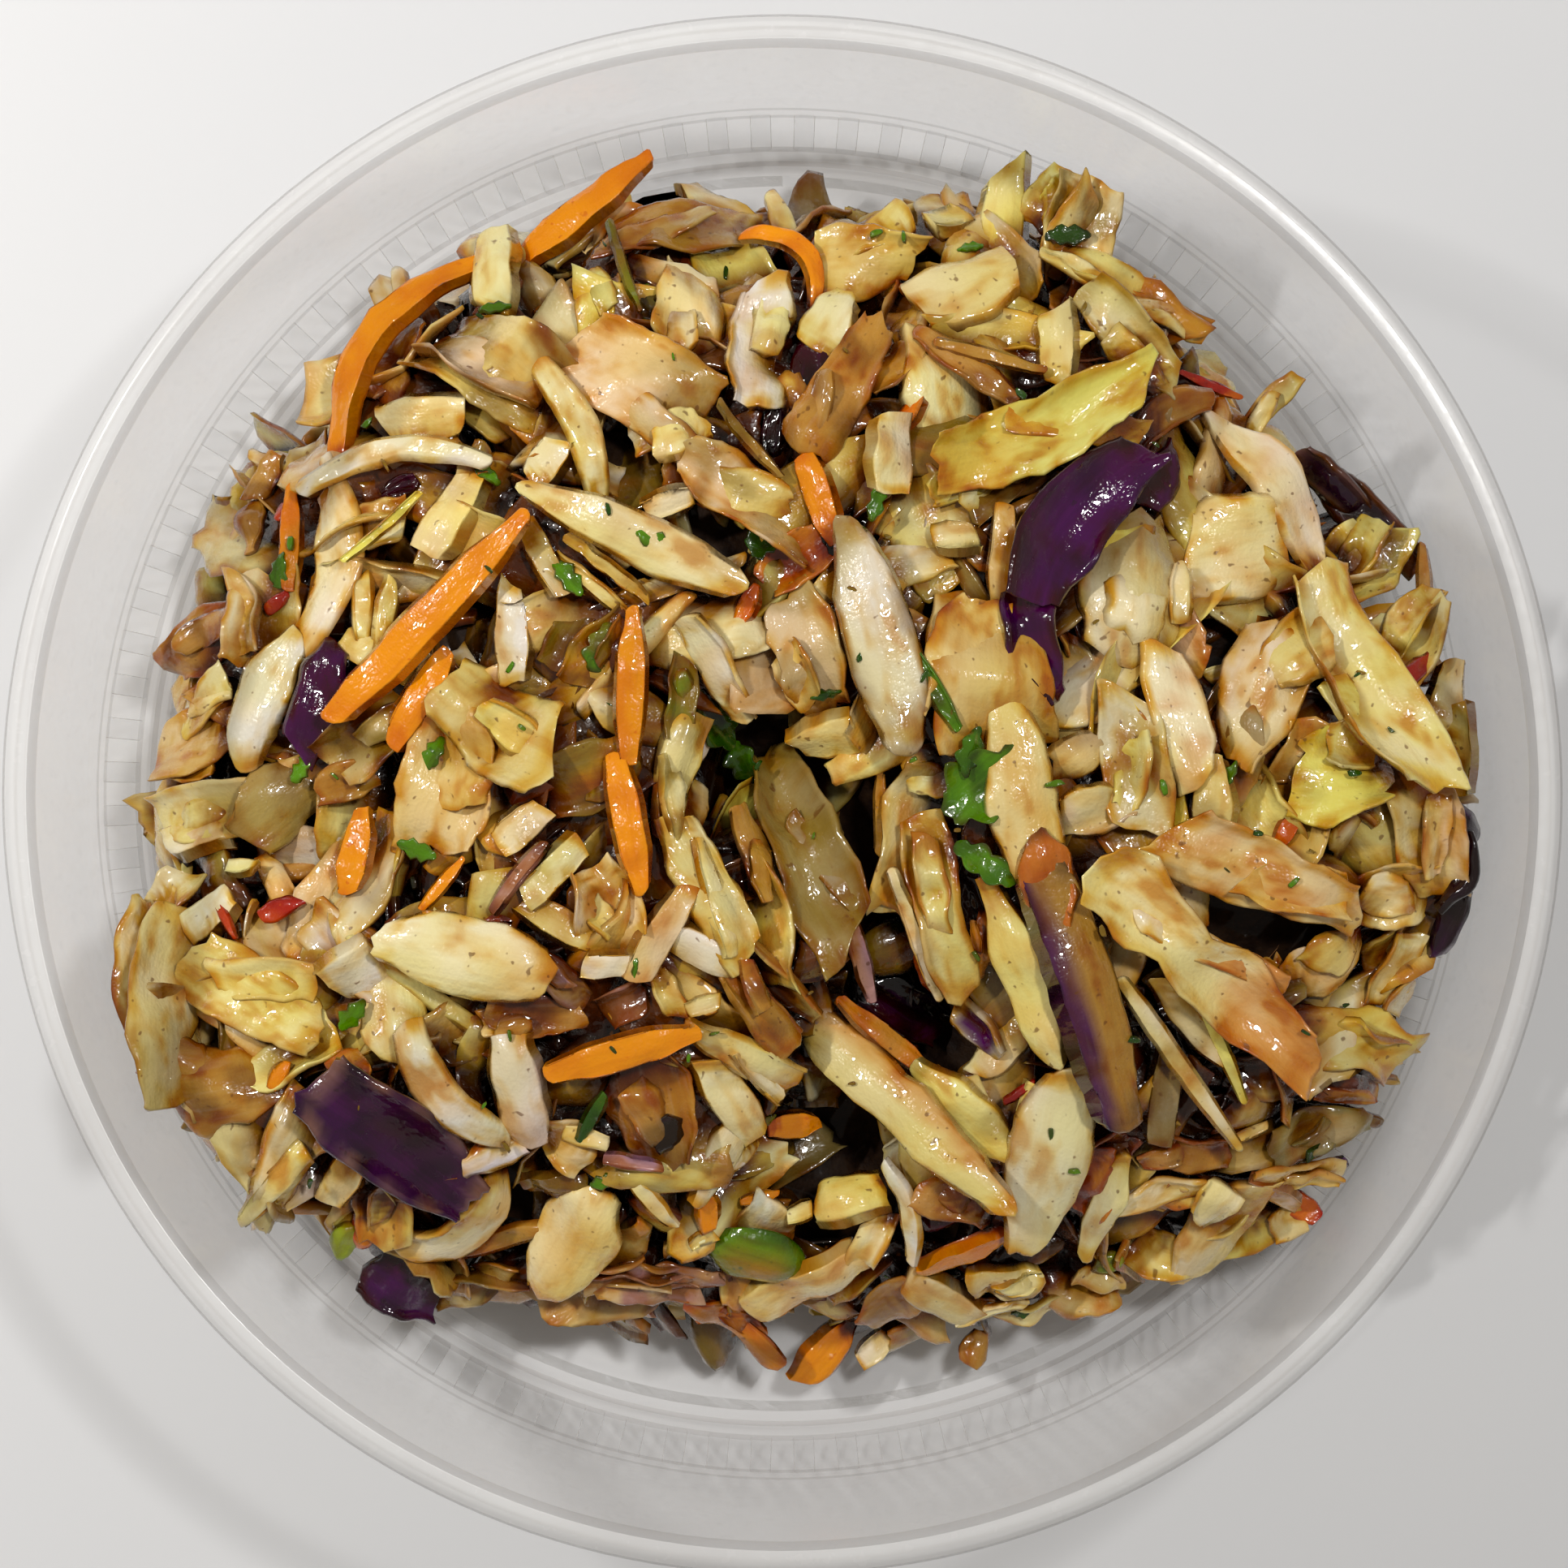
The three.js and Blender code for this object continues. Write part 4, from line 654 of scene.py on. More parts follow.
def turned(vectors: np.ndarray, axes: np.ndarray, angles: np.ndarray) -> np.ndarray:
    """Vectors turned about unit axes by angles in radians, each by its own."""
    cos = np.cos(angles)[:, None]
    sin = np.sin(angles)[:, None]
    along = (vectors * axes).sum(axis=1, keepdims=True)
    return vectors * cos + np.cross(axes, vectors) * sin + axes * along * (1 - cos)


@dataclass
class Slab:
    """Closed block of small faces that the pieces are shaped from."""

    along: int
    across: int
    through: int
    crowding: float = 1.6
    points: np.ndarray = field(init=False)
    faces: np.ndarray = field(init=False)

    def __post_init__(self) -> None:
        """Cuts a cube from -1 to 1 into small faces."""
        block = bmesh.new()
        bmesh.ops.create_cube(block, size=2)
        for axis, parts in enumerate((self.along, self.across, self.through)):
            if parts < 2:
                continue
            edges = [
                edge
                for edge in block.edges
                if abs(edge.verts[0].co[axis] - edge.verts[1].co[axis]) > TINY
            ]
            bmesh.ops.subdivide_edges(block, edges=edges, cuts=parts - 1, use_grid_fill=True)
        block.verts.index_update()
        even = np.array([vert.co[:] for vert in block.verts])
        self.points = np.sign(even) * (1 - (1 - abs(even)) ** self.crowding)
        self.faces = np.array([[vert.index for vert in face.verts] for face in block.faces])
        block.free()


@dataclass(frozen=True)
class Spine:
    """Bowed middle line of a piece, with the way that its upper side faces."""

    tail: np.ndarray
    knee: np.ndarray
    tip: np.ndarray
    up: np.ndarray
    lean: float = 0.0
    twist: float = 24.0

    def frames(self, share: np.ndarray) -> tuple[np.ndarray, np.ndarray, np.ndarray]:
        """Points, sideways and upward directions along the line.

        Args:
            share: Places along the line, from 0 at the tail to 1 at the tip.

        Returns:
            Points, directions to the left, and directions out of the upper side.
        """
        s = share[:, None]
        points = (1 - s) ** 2 * self.tail + 2 * s * (1 - s) * self.knee + s**2 * self.tip
        way = unit(2 * (1 - s) * (self.knee - self.tail) + 2 * s * (self.tip - self.knee))
        side = unit(np.cross(np.broadcast_to(self.up, way.shape), way))
        side = turned(side, way, self.lean + (share - 0.5) * math.radians(self.twist))
        return points, side, np.cross(way, side)


def mesh_from(shape: bmesh.types.BMesh, name: str, softly: bool = True) -> bpy.types.Mesh:
    """Turns a finished shape into a mesh and frees it.

    Args:
        shape: The shape, in metres.
        name: Name of the mesh.
        softly: Whether its faces are shaded smooth.

    Returns:
        The mesh, without materials.
    """
    for face in shape.faces:
        face.smooth = softly
    mesh = bpy.data.meshes.new(name)
    shape.to_mesh(mesh)
    shape.free()
    return mesh


def show(mesh: bpy.types.Mesh) -> bpy.types.Object:
    """Puts a mesh in the scene, as an object of the same name, and reports it."""
    made = bpy.data.objects.new(mesh.name, mesh)
    bpy.context.scene.collection.objects.link(made)
    log.info("%s: %d faces", made.name, len(mesh.polygons))
    return made


@dataclass
class Bits:
    """Pieces of one kind, gathered into one object."""

    name: str
    material: bpy.types.Material
    points: list[np.ndarray] = field(default_factory=list)
    faces: list[np.ndarray] = field(default_factory=list)
    tints: list[np.ndarray] = field(default_factory=list)
    grains: list[np.ndarray] = field(default_factory=list)
    count: int = 0

    def add(
        self, points: np.ndarray, faces: np.ndarray, tint: np.ndarray, grain: np.ndarray
    ) -> None:
        """Adds one piece: its points in millimetres, faces, colours and own coordinates."""
        self.faces.append(faces + self.count)
        self.points.append(points)
        self.tints.append(tint)
        self.grains.append(grain)
        self.count += len(points)

    def build(self) -> bpy.types.Object:
        """Makes the object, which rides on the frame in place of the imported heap."""
        points = np.concatenate(self.points) * METRES
        faces = np.concatenate(self.faces)
        mesh = bpy.data.meshes.new(self.name)
        mesh.vertices.add(len(points))
        mesh.vertices.foreach_set("co", points.astype(np.float32).ravel())
        mesh.loops.add(faces.size)
        mesh.loops.foreach_set("vertex_index", faces.astype(np.int32).ravel())
        mesh.polygons.add(len(faces))
        starts = np.arange(0, faces.size, faces.shape[1], dtype=np.int32)
        mesh.polygons.foreach_set("loop_start", starts)
        mesh.update(calc_edges=True)
        mesh.polygons.foreach_set("use_smooth", np.ones(len(faces), bool))
        tint = mesh.attributes.new("tint", "FLOAT_COLOR", "POINT")
        colours = np.concatenate(self.tints)
        colours = np.concatenate([colours, np.ones((len(colours), 1))], axis=1)
        tint.data.foreach_set("color", colours.astype(np.float32).ravel())
        grain = mesh.attributes.new("grain", "FLOAT_VECTOR", "POINT")
        grain.data.foreach_set("vector", np.concatenate(self.grains).astype(np.float32).ravel())
        mesh.materials.append(self.material)
        made = show(mesh)
        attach(made, "root")
        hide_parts("slaw")
        return made


PALE_CUTS = (Cut.LEAF, Cut.PETAL, Cut.RIB, Cut.CHUNK, Cut.FAN, Cut.STRIP, Cut.HUSK)


@dataclass(frozen=True)
class Form:
    """A piece that is shaped but not laid yet, with one value for each of its points.

    share runs from 0 at the tail to 1 at the tip, along, across and up are in millimetres, and
    a, b and c are the point's place in the slab.
    """

    share: np.ndarray
    along: np.ndarray
    across: np.ndarray
    up: np.ndarray
    a: np.ndarray
    b: np.ndarray
    c: np.ndarray


@dataclass(frozen=True)
class Blank:
    """What a piece is shaped from: a block of faces, how its sort is cut, and its size."""

    slab: Slab
    section: Section
    long: float
    wide: float


@dataclass
class Knife:
    """Shapes and colours one piece of food from a slab.

    slant is how far a cut end may lean, and corner_reach how far its corners may move along the
    piece. tears, nicks and end_tears are the shortest and longest waves of a torn edge, and
    nick_share is how deep the nicks are beside the tears. lobe_depth is how deeply a leaf is
    notched. A curl changes by curl_swing along the piece and by curl_shares from one piece to
    the next, and flattest is the least, in radians. The ends lift from end_start outwards, and
    an edge turns up from lip_start, as shares of half a side. edge_film is how thick the
    dressing lies along an edge, and edge_cover how far an edge takes on its own colour. leafy
    is how much red, green and blue the leafy half loses, and underside_shade how much the lower
    side loses, and the sides half as much, as painted shade.
    """

    rng: np.random.Generator
    slant: float = 0.4
    corner_reach: float = 1.6
    tears: tuple[float, float] = (2.5, 8.0)
    nicks: tuple[float, float] = (0.9, 2.2)
    nick_share: float = 0.35
    end_tears: tuple[float, float] = (1.5, 5.0)
    end_raggedness: float = 1.5
    lobe_depth: float = 0.38
    thickest_share: float = 0.26
    fine_relief: float = 0.09
    ruffle: float = 0.04
    curl_swing: float = 0.6
    curl_shares: tuple[float, float] = (0.5, 1.2)
    flattest: float = 0.02
    end_start: float = 0.45
    end_lifts: tuple[float, float] = (-0.12, 0.16)
    crease_width: float = 0.3
    lip_start: float = 0.55
    lip_lifts: tuple[float, float] = (-0.4, 1.1)
    edge_film: float = 1.5
    carrot_film: float = 0.6
    edge_cover: float = 0.9
    leafy: tuple[float, float, float] = (0.05, 0.07, 0.34)
    underside_shade: tuple[float, float, float] = (0.5, 0.66, 0.85)

    def waves(self, along: np.ndarray, across: np.ndarray, *ripple: float) -> np.ndarray:
        """Draws a ripple and reads it at points: its shortest and longest wave, and their count."""
        return Ripple(self.rng, *ripple).at(along, across)

    def side(self) -> int:
        """Draws one of two sides, -1 or 1."""
        return self.rng.choice([-1, 1])

    def outline(self, blank: Blank) -> tuple[np.ndarray, np.ndarray]:
        """Outline of a piece in plan, with corners off square and torn edges.

        Args:
            blank: What the piece is shaped from.

        Returns:
            How far ahead and how far to the left each point is, as shares of half a side.
        """
        a, b, _ = blank.slab.points.T
        section, long, wide = blank.section, blank.long, blank.wide
        slim = min(wide / long, 1)
        rounding = 1 - section.blunt
        ahead = a * np.sqrt(1 - rounding * b**2 / 2)
        beside = b * np.sqrt(1 - rounding * a**2 / 2)
        off = self.rng.uniform(-section.corners, section.corners, 8)
        tail, tip, right, left = (1 - a) / 2, (1 + a) / 2, (1 - b) / 2, (1 + b) / 2
        weights = np.stack([tail * right, tail * left, tip * right, tip * left])
        ahead = ahead + off[:4] @ weights * slim * self.corner_reach
        beside = beside + off[4:] @ weights
        # The signs read each wave at another place, so that opposite edges differ
        tear = self.waves(a * long / 2, np.sign(b) * 4, *self.tears)
        nick = self.waves(a * long / 2, np.sign(b) * 3, *self.nicks)
        torn = (tear + nick * self.nick_share) * section.ragged
        beside = beside + torn * abs(b) ** 3 * np.sign(b)
        end = self.waves(b * wide / 2, np.sign(a) * 5, *self.end_tears)
        slope = self.rng.uniform(-self.slant, self.slant, 2)
        skew = np.where(a > 0, slope[0], slope[1]) * section.blunt * beside
        cut = end * section.ragged * self.end_raggedness + skew * abs(a) ** 2
        return ahead + cut * slim * abs(a), beside

    def half_width(self, blank: Blank, share: np.ndarray) -> np.ndarray:
        """Half the width of a piece at places along it, in millimetres."""
        widths = np.array(blank.section.widths)
        stations = np.clip(share, 0, 1) * (len(widths) - 1)
        before = np.minimum(stations.astype(int), len(widths) - 2)
        step = smooth(0, 1, stations - before)
        width = widths[before] * (1 - step) + widths[before + 1] * step
        if blank.section.lobes:
            notches = abs(np.cos(np.pi * blank.section.lobes * share))
            width = width * (1 - self.lobe_depth + self.lobe_depth * notches)
        return blank.wide * width / 2

    def relief(
        self, section: Section, along: np.ndarray, across: np.ndarray, beside: np.ndarray
    ) -> np.ndarray:
        """Fine unevenness, grooves and crimps of the upper side, in millimetres."""
        wander = self.waves(along, across, 4, 12) * 0.4
        lift = self.waves(along, across, 1.2, 2.8, 8) * self.fine_relief
        if section.grooves:
            ridges = abs(np.cos(np.pi * section.grooves * beside / 2 + wander * 2))
            lift = lift + section.groove_depth * (ridges - 1)
        if section.crimp_depth:
            crimps = abs(np.cos(np.pi * along / section.crimp_length + wander * 3))
            lift = lift + section.crimp_depth * (crimps - 1)
        return lift

    def curled(
        self, blank: Blank, along: np.ndarray, flat: np.ndarray, high: np.ndarray
    ) -> tuple[np.ndarray, np.ndarray]:
        """Bends a flat piece across its width.

        Args:
            blank: What the piece is shaped from.
            along: Where each point is along the piece.
            flat: How far it is to the left while the piece is flat.
            high: How far it is up while the piece is flat.

        Returns:
            How far each point is to the left and up on the bent piece.
        """
        swing = self.waves(along, along * 0, blank.long * 0.8, blank.long * 2.5, 3)
        bend = math.radians(blank.section.curl)
        curl = bend * (1 + self.curl_swing * swing) * self.rng.uniform(*self.curl_shares) / 2
        curl = np.where(abs(curl) < self.flattest, self.flattest, curl)
        radius = blank.wide / 2 / curl
        angle = flat / radius
        return (radius - high) * np.sin(angle), radius - (radius - high) * np.cos(angle)

    def folded(self, blank: Blank, along: np.ndarray, flat: np.ndarray) -> np.ndarray:
        """Lift of a piece's ends, and of its fold and turned-up edge where it has them.

        Args:
            blank: What the piece is shaped from.
            along: Where each point is along the piece.
            flat: How far it is to the left while the piece is flat.

        Returns:
            The lift of each point, in millimetres.
        """
        a, b, _ = blank.slab.points.T
        ends = np.maximum(abs(a) - self.end_start, 0) ** 2
        lift = self.rng.uniform(*self.end_lifts) * blank.long * ends
        if blank.section.fold:
            turn = self.rng.uniform(0, np.pi)
            start = self.rng.uniform(-0.25, 0.25, 2) * (blank.long, blank.wide)
            off_line = (along - start[0]) * math.sin(turn) - (flat - start[1]) * math.cos(turn)
            steep = blank.section.fold * self.rng.uniform(0.3, 1) * self.side()
            crease = np.sqrt(off_line**2 + self.crease_width)
            lift = lift + steep * (crease - blank.wide * 0.25)
            lip = np.maximum(b * self.side() - self.lip_start, 0) ** 2
            lift = lift + lip * blank.wide * self.rng.uniform(*self.lip_lifts)
        return lift

    def shape(self, blank: Blank) -> Form:
        """Works out a piece before it is laid."""
        a, b, c = blank.slab.points.T
        section, wide = blank.section, blank.wide
        ahead, beside = self.outline(blank)
        share = (ahead + 1) / 2
        along = ahead * blank.long / 2
        half = self.half_width(blank, share)
        flat = beside * half
        thin = 1 - section.thin_edge * abs(b) ** 3
        thickness = section.thick / 2 * thin * (1 - section.thin_edge * 0.6 * abs(a) ** 6)
        thickness = np.minimum(thickness, wide * self.thickest_share)
        pull = np.minimum(thickness, half * 0.5) * 0.7 * c**2
        across = flat - np.sign(b) * abs(b) ** 6 * pull
        lift = self.relief(section, along, across, beside)
        bow = self.waves(along, across, wide * 0.8, wide * 1.9 + 1, 5)
        ruffle = np.sin(along / wide * 3.2 + self.rng.uniform(0, 6)) * beside * abs(beside)
        height = c * thickness + bow * section.crumple * wide + ruffle * self.ruffle * wide
        height = height + np.where(c > 0, lift, -lift * 0.3)
        across, height = self.curled(blank, along, across, height)
        up = height + self.folded(blank, along, flat)
        return Form(share, along, across, up, a, b, c)

    def stain_mask(self, form: Form, where: Where) -> np.ndarray:
        """Where a stain lies on a shaped piece, from 0 to 1."""
        patches = self.waves(form.along, form.across, 2.5, 7)
        outermost = np.maximum(abs(form.b), abs(form.a))
        masks: dict[Where, Callable[[], np.ndarray]] = {
            Where.PATCHY: lambda: smooth(-0.2, 0.7, patches),
            Where.TIP: lambda: smooth(0.5, 0.85, form.share + patches * 0.1),
            Where.TAIL: lambda: 1 - smooth(0.15, 0.5, form.share + patches * 0.1),
            Where.LEFT: lambda: smooth(0.05, 0.6, form.b + patches * 0.2),
            Where.RIGHT: lambda: smooth(0.05, 0.5, -form.b + patches * 0.15),
            Where.MIDDLE: lambda: np.exp(-2.2 * (form.b**2 + form.a**2)) * (1 + patches * 0.5),
            Where.RIM: lambda: smooth(0.5, 1, outermost + patches * 0.15),
            Where.ALL: lambda: np.ones_like(patches),
        }
        return np.clip(masks[where](), 0, 1)

    def colour(self, form: Form, piece: Piece) -> np.ndarray:
        """Colours of a shaped piece, linear red, green and blue for each point."""
        pale = piece.cut in PALE_CUTS
        hue = self.rng.uniform((0.98, 0.96, 0.72), (1.02, 1.01, 1.45)) if pale else 1
        base = piece.tone.light() * self.rng.uniform(0.84, 1.03) * hue
        drift = self.waves(form.along, form.across, 5, 16, 4)
        leafy = smooth(-0.9, 0.9, form.b * self.side() + drift)[:, None]
        colours = base * (1 - leafy * self.leafy)
        mask = self.stain_mask(form, piece.where)[:, None] * piece.much
        colours = colours * (1 - mask) + piece.stain.light() * mask
        rim = smooth(0.7, 1, np.maximum(abs(form.b), abs(form.a)))[:, None]
        rim = rim * smooth(-0.3, 0.7, self.waves(form.along, form.across, 2, 6))[:, None]
        if piece.edge:
            kept = colours * (1 - rim * self.edge_cover)
            colours = kept + piece.edge.light() * rim * self.edge_cover
        else:
            film = self.carrot_film if piece.cut is Cut.CARROT else self.edge_film
            colours = colours * DRESSING ** (rim * film)
        # Painted shade: the lower side of each piece is darkened, and its sides half as much
        under = (0.5 - form.c / 2)[:, None]
        colours = colours * (1 - under * self.underside_shade)
        return np.clip(colours * piece.shade, 0, 1)

    def lay(self, slab: Slab, piece: Piece, spine: Spine, cup: CupSizes, bits: Bits) -> None:
        """Shapes a piece along a spine, keeps it inside the cup and adds it to its kind."""
        form = self.shape(Blank(slab, piece.cut.value, piece.long, piece.wide))
        middle, side, up = spine.frames(form.share)
        points = middle + side * form.across[:, None] + up * form.up[:, None]
        centre = points.mean(axis=0)
        over = (np.hypot(points[:, 0], points[:, 1]) - cup.free_radius(points[:, 2])).max()
        if over > 0:
            inwards = -centre[:2] / max(np.hypot(*centre[:2]), TINY)
            points[:, :2] += inwards * over * 1.05
        points[:, 2] = np.maximum(points[:, 2], cup.floor_top + cup.gap)
        radius = np.hypot(points[:, 0], points[:, 1])
        inside = np.minimum(1, cup.free_radius(points[:, 2]) / np.maximum(radius, TINY))
        points[:, :2] *= inside[:, None]
        offset = np.full(len(points), self.rng.uniform(0, 500))
        grain = np.stack([form.along, form.across, offset], axis=1)
        bits.add(points, slab.faces, self.colour(form, piece), grain)


class Paint:
    """A node material with one Principled shader."""

    def __init__(self, name: str) -> None:
        """Starts an empty material of this name."""
        self.material = bpy.data.materials.new(name)
        self.material.use_nodes = True
        self.tree = self.material.node_tree
        self.shader = self.tree.nodes["Principled BSDF"]

    def set(self, node: bpy.types.Node, inputs: dict[str | int, object]) -> bpy.types.Node:
        """Sets or links a node's inputs: a socket is linked, anything else is its value."""
        for key, value in inputs.items():
            if isinstance(value, bpy.types.NodeSocket):
                self.tree.links.new(value, node.inputs[key])
            else:
                node.inputs[key].default_value = value
        return node

    def node(
        self, kind: str, inputs: dict[str | int, object], **settings: object
    ) -> bpy.types.Node:
        """Adds a node with its settings and inputs."""
        made = self.tree.nodes.new(kind)
        for key, value in settings.items():
            setattr(made, key, value)
        return self.set(made, inputs)

    def own(self, name: str, output: str) -> bpy.types.NodeSocket:
        """Reads one of the piece's own attributes."""
        return self.node("ShaderNodeAttribute", {}, attribute_name=name).outputs[output]

    def noise(
        self, vector: bpy.types.NodeSocket, scale: float, detail: float
    ) -> bpy.types.NodeSocket:
        """Adds soft noise of a scale per unit of the vector."""
        inputs = {"Vector": vector, "Scale": scale, "Detail": detail, "Roughness": 0.6}
        return self.node("ShaderNodeTexNoise", inputs).outputs["Fac"]

    def stretch(self, vector: bpy.types.NodeSocket, scale: Sequence[float]) -> bpy.types.NodeSocket:
        """Stretches coordinates about their origin."""
        return self.node("ShaderNodeMapping", {"Vector": vector, "Scale": scale}).outputs[0]

    def span(
        self, value: bpy.types.NodeSocket, low: float, high: float, start: float, end: float
    ) -> bpy.types.NodeSocket:
        """Maps a value from low to high onto start to end."""
        inputs = {0: value, 1: low, 2: high, 3: start, 4: end}
        return self.node("ShaderNodeMapRange", inputs).outputs[0]

    def mix(
        self, share: object, first: object, second: object, blend: str = "MIX"
    ) -> bpy.types.NodeSocket:
        """Mixes two colours."""
        inputs = {0: share, 6: first, 7: second}
        settings = {"data_type": "RGBA", "blend_type": blend}
        return self.node("ShaderNodeMix", inputs, **settings).outputs[2]

    def add(
        self, first: bpy.types.NodeSocket, weight: float, second: bpy.types.NodeSocket
    ) -> bpy.types.NodeSocket:
        """Adds a weighted value to another."""
        inputs = {0: first, 1: weight, 2: second}
        return self.node("ShaderNodeMath", inputs, operation="MULTIPLY_ADD").outputs[0]

    def bump(self, height: bpy.types.NodeSocket, strength: float, depth: float) -> None:
        """Roughens the shader's surface by a height up to a depth in metres."""
        inputs = {"Height": height, "Strength": strength, "Distance": depth}
        normal = self.node("ShaderNodeBump", inputs).outputs[0]
        self.set(self.shader, {"Normal": normal})


def colour4(tone: Tone) -> tuple[float, float, float, float]:
    """A tone as a shader colour."""
    red, green, blue = tone.light()
    return (float(red), float(green), float(blue), 1.0)


@dataclass(frozen=True)
class WetFood:
    """Finish of a wet piece of vegetable under its dressing.

    sauce_share, fleck_share and streak are how strongly the soaked patches, the flecks and the
    dark streaks show, and streaks_across how many streaks there are to a millimetre. film and
    pool are how thick the dressing lies on soaked patches and in their middle. bump is how
    strongly the surface is roughened, up to depth metres, and glint is how deep the ripples of
    the wet coat are, in metres.
    """

    name: str
    sauce_share: float = 0.7
    fleck: Tone = Tone.BROWN
    fleck_share: float = 0.7
    streak: float = 0.14
    streaks_across: float = 1.5
    streak_tone: tuple[float, float, float, float] = (0.66, 0.42, 0.14, 1)
    film: float = 0.8
    pool: float = 1.6
    roughness: tuple[float, float] = (0.16, 0.34)
    specular: float = 0.2
    coat: float = 1.0
    coat_roughness: float = 0.035
    bump: float = 0.35
    depth: float = 0.00018
    shine: tuple[float, float, float, float] = (1, 0.96, 0.78, 1)
    glint: float = 0.00022

    def make(self) -> bpy.types.Material:
        """Builds the material.

        Returns:
            A material that reads each piece's tint and its own coordinates in millimetres.
        """
        paint = Paint(self.name)
        tint = paint.own("tint", "Color")
        grain = paint.own("grain", "Vector")
        soaked = paint.noise(paint.stretch(grain, (0.24, 0.4, 1)), 1, 2)
        fibres = paint.noise(paint.stretch(grain, (0.16, self.streaks_across, 1)), 1, 2)
        fine = paint.noise(grain, 2.6, 1)
        specks = paint.noise(grain, 1.35, 1)
        film = (*DRESSING**self.film, 1)
        pool = (*DRESSING**self.pool, 1)
        thin = paint.mix(1.0, tint, film, "MULTIPLY")
        body = paint.mix(paint.span(soaked, 0.46, 0.6, 0, self.sauce_share), tint, thin)
        thick = paint.mix(1.0, body, pool, "MULTIPLY")
        body = paint.mix(paint.span(soaked, 0.58, 0.68, 0, self.sauce_share), body, thick)
        shade = paint.mix(1.0, body, self.streak_tone, "MULTIPLY")
        body = paint.mix(paint.span(fibres, 0.52, 0.72, 0, self.streak), body, shade)
        pale = paint.mix(0.3, body, self.shine, "SCREEN")
        body = paint.mix(paint.span(fibres, 0.46, 0.3, 0, self.streak * 0.5), body, pale)
        fleck = paint.span(specks, 0.7, 0.76, 0, self.fleck_share)
        body = paint.mix(fleck, body, colour4(self.fleck))
        rough = paint.span(fine, 0.3, 0.7, *self.roughness)
        paint.set(
            paint.shader,
            {
                "Base Color": body,
                "Roughness": rough,
                "Coat Weight": self.coat,
                "Coat Roughness": self.coat_roughness,
                "Specular IOR Level": self.specular,
            },
        )
        relief = paint.add(fibres, 0.9, paint.add(soaked, 0.6, fine))
        paint.bump(relief, self.bump, self.depth)
        inputs = {"Height": paint.noise(grain, 0.9, 1), "Strength": 0.8, "Distance": self.glint}
        coat_normal = paint.node("ShaderNodeBump", inputs).outputs[0]
        paint.set(paint.shader, {"Coat Normal": coat_normal})
        return paint.material


class Zone(Enum):
    """Zones of the cup's plastic: tone and how much each surface hides of what is behind it."""

    RIM = ((0.95, 0.955, 0.96, 1), 0.5)
    # EDGE and the crease zone are painted shade: grey lines where edges and corners of the plastic
    # look dark
    EDGE = ((0.42, 0.40, 0.39, 1), 0.3)
    WALL = ((0.99, 0.96, 0.95, 1), 0.12)
    FLOOR = ((0.97, 0.95, 0.94, 1), 0.12)
    RIB = ((0.99, 0.97, 0.95, 1), 0.03)
    SIDE = ((0.9, 0.89, 0.88, 1), 0.4)
    # Painted shade along the corners inside the cup
    CREASE = ((0.5, 0.46, 0.44, 1), 0.28)


@dataclass(frozen=True)
class ClearPlastic:
    """Milky see-through plastic of the cup."""

    zone: Zone
    roughness: float = 0.2

    def make(self) -> bpy.types.Material:
        """Builds the material, with a plain Alpha that a model file can keep."""
        tone, alpha = self.zone.value
        paint = Paint(f"plastic_{self.zone.name.lower()}")
        coordinates = paint.node("ShaderNodeTexCoord", {}).outputs["Object"]
        haze = paint.noise(paint.stretch(coordinates, (60, 60, 90)), 1, 3)
        scuffs = paint.noise(paint.stretch(coordinates, (900, 900, 300)), 1, 2)
        dull = paint.mix(1.0, tone, (0.94, 0.93, 0.93, 1), "MULTIPLY")
        body = paint.mix(paint.span(haze, 0.4, 0.65, 0, 1), tone, dull)
        rough = paint.span(scuffs, 0.35, 0.65, self.roughness * 0.7, self.roughness * 1.4)
        inputs = {"Base Color": body, "Roughness": rough, "Alpha": alpha, "IOR": 1.49}
        paint.set(paint.shader, inputs)
        paint.bump(haze, 0.15, 0.0002)
        return paint.material


@dataclass(frozen=True)
class GapShadeAndDressing:
    """Dark dressing gathered between the pieces, painted near black as the shade of the deep gaps.
    """

    name: str = "gap_shade_and_dressing"
    # Both tones are near-black painted shade over the dressing's brown, mixed in lumps
    deep: tuple[float, float, float, float] = (0.010, 0.004, 0.002, 1)
    thin: tuple[float, float, float, float] = (0.035, 0.016, 0.006, 1)

    def make(self) -> bpy.types.Material:
        """Builds the material."""
        paint = Paint(self.name)
        coordinates = paint.node("ShaderNodeTexCoord", {}).outputs["Object"]
        lumps = paint.noise(coordinates, 420, 4)
        inputs = {
            "Base Color": paint.mix(paint.span(lumps, 0.42, 0.68, 0, 1), self.deep, self.thin),
            "Roughness": 0.6,
            "Specular IOR Level": 0.1,
            "Coat Weight": 0.3,
            "Coat Roughness": 0.06,
        }
        paint.set(paint.shader, inputs)
        paint.bump(lumps, 0.5, 0.0008)
        return paint.material


@dataclass(frozen=True)
class PaleTable:
    """Plain pale floor."""

    name: str = "pale_table"
    dark: tuple[float, float, float, float] = (0.765, 0.78, 0.81, 1)
    light: tuple[float, float, float, float] = (0.8, 0.812, 0.832, 1)
    roughness: float = 0.55

    def make(self) -> bpy.types.Material:
        """Builds the material."""
        paint = Paint(self.name)
        coordinates = paint.node("ShaderNodeTexCoord", {}).outputs["Object"]
        cloud = paint.noise(coordinates, 6, 2)
        body = paint.mix(paint.span(cloud, 0.3, 0.7, 0, 1), self.dark, self.light)
        paint.set(paint.shader, {"Base Color": body, "Roughness": self.roughness})
        return paint.material


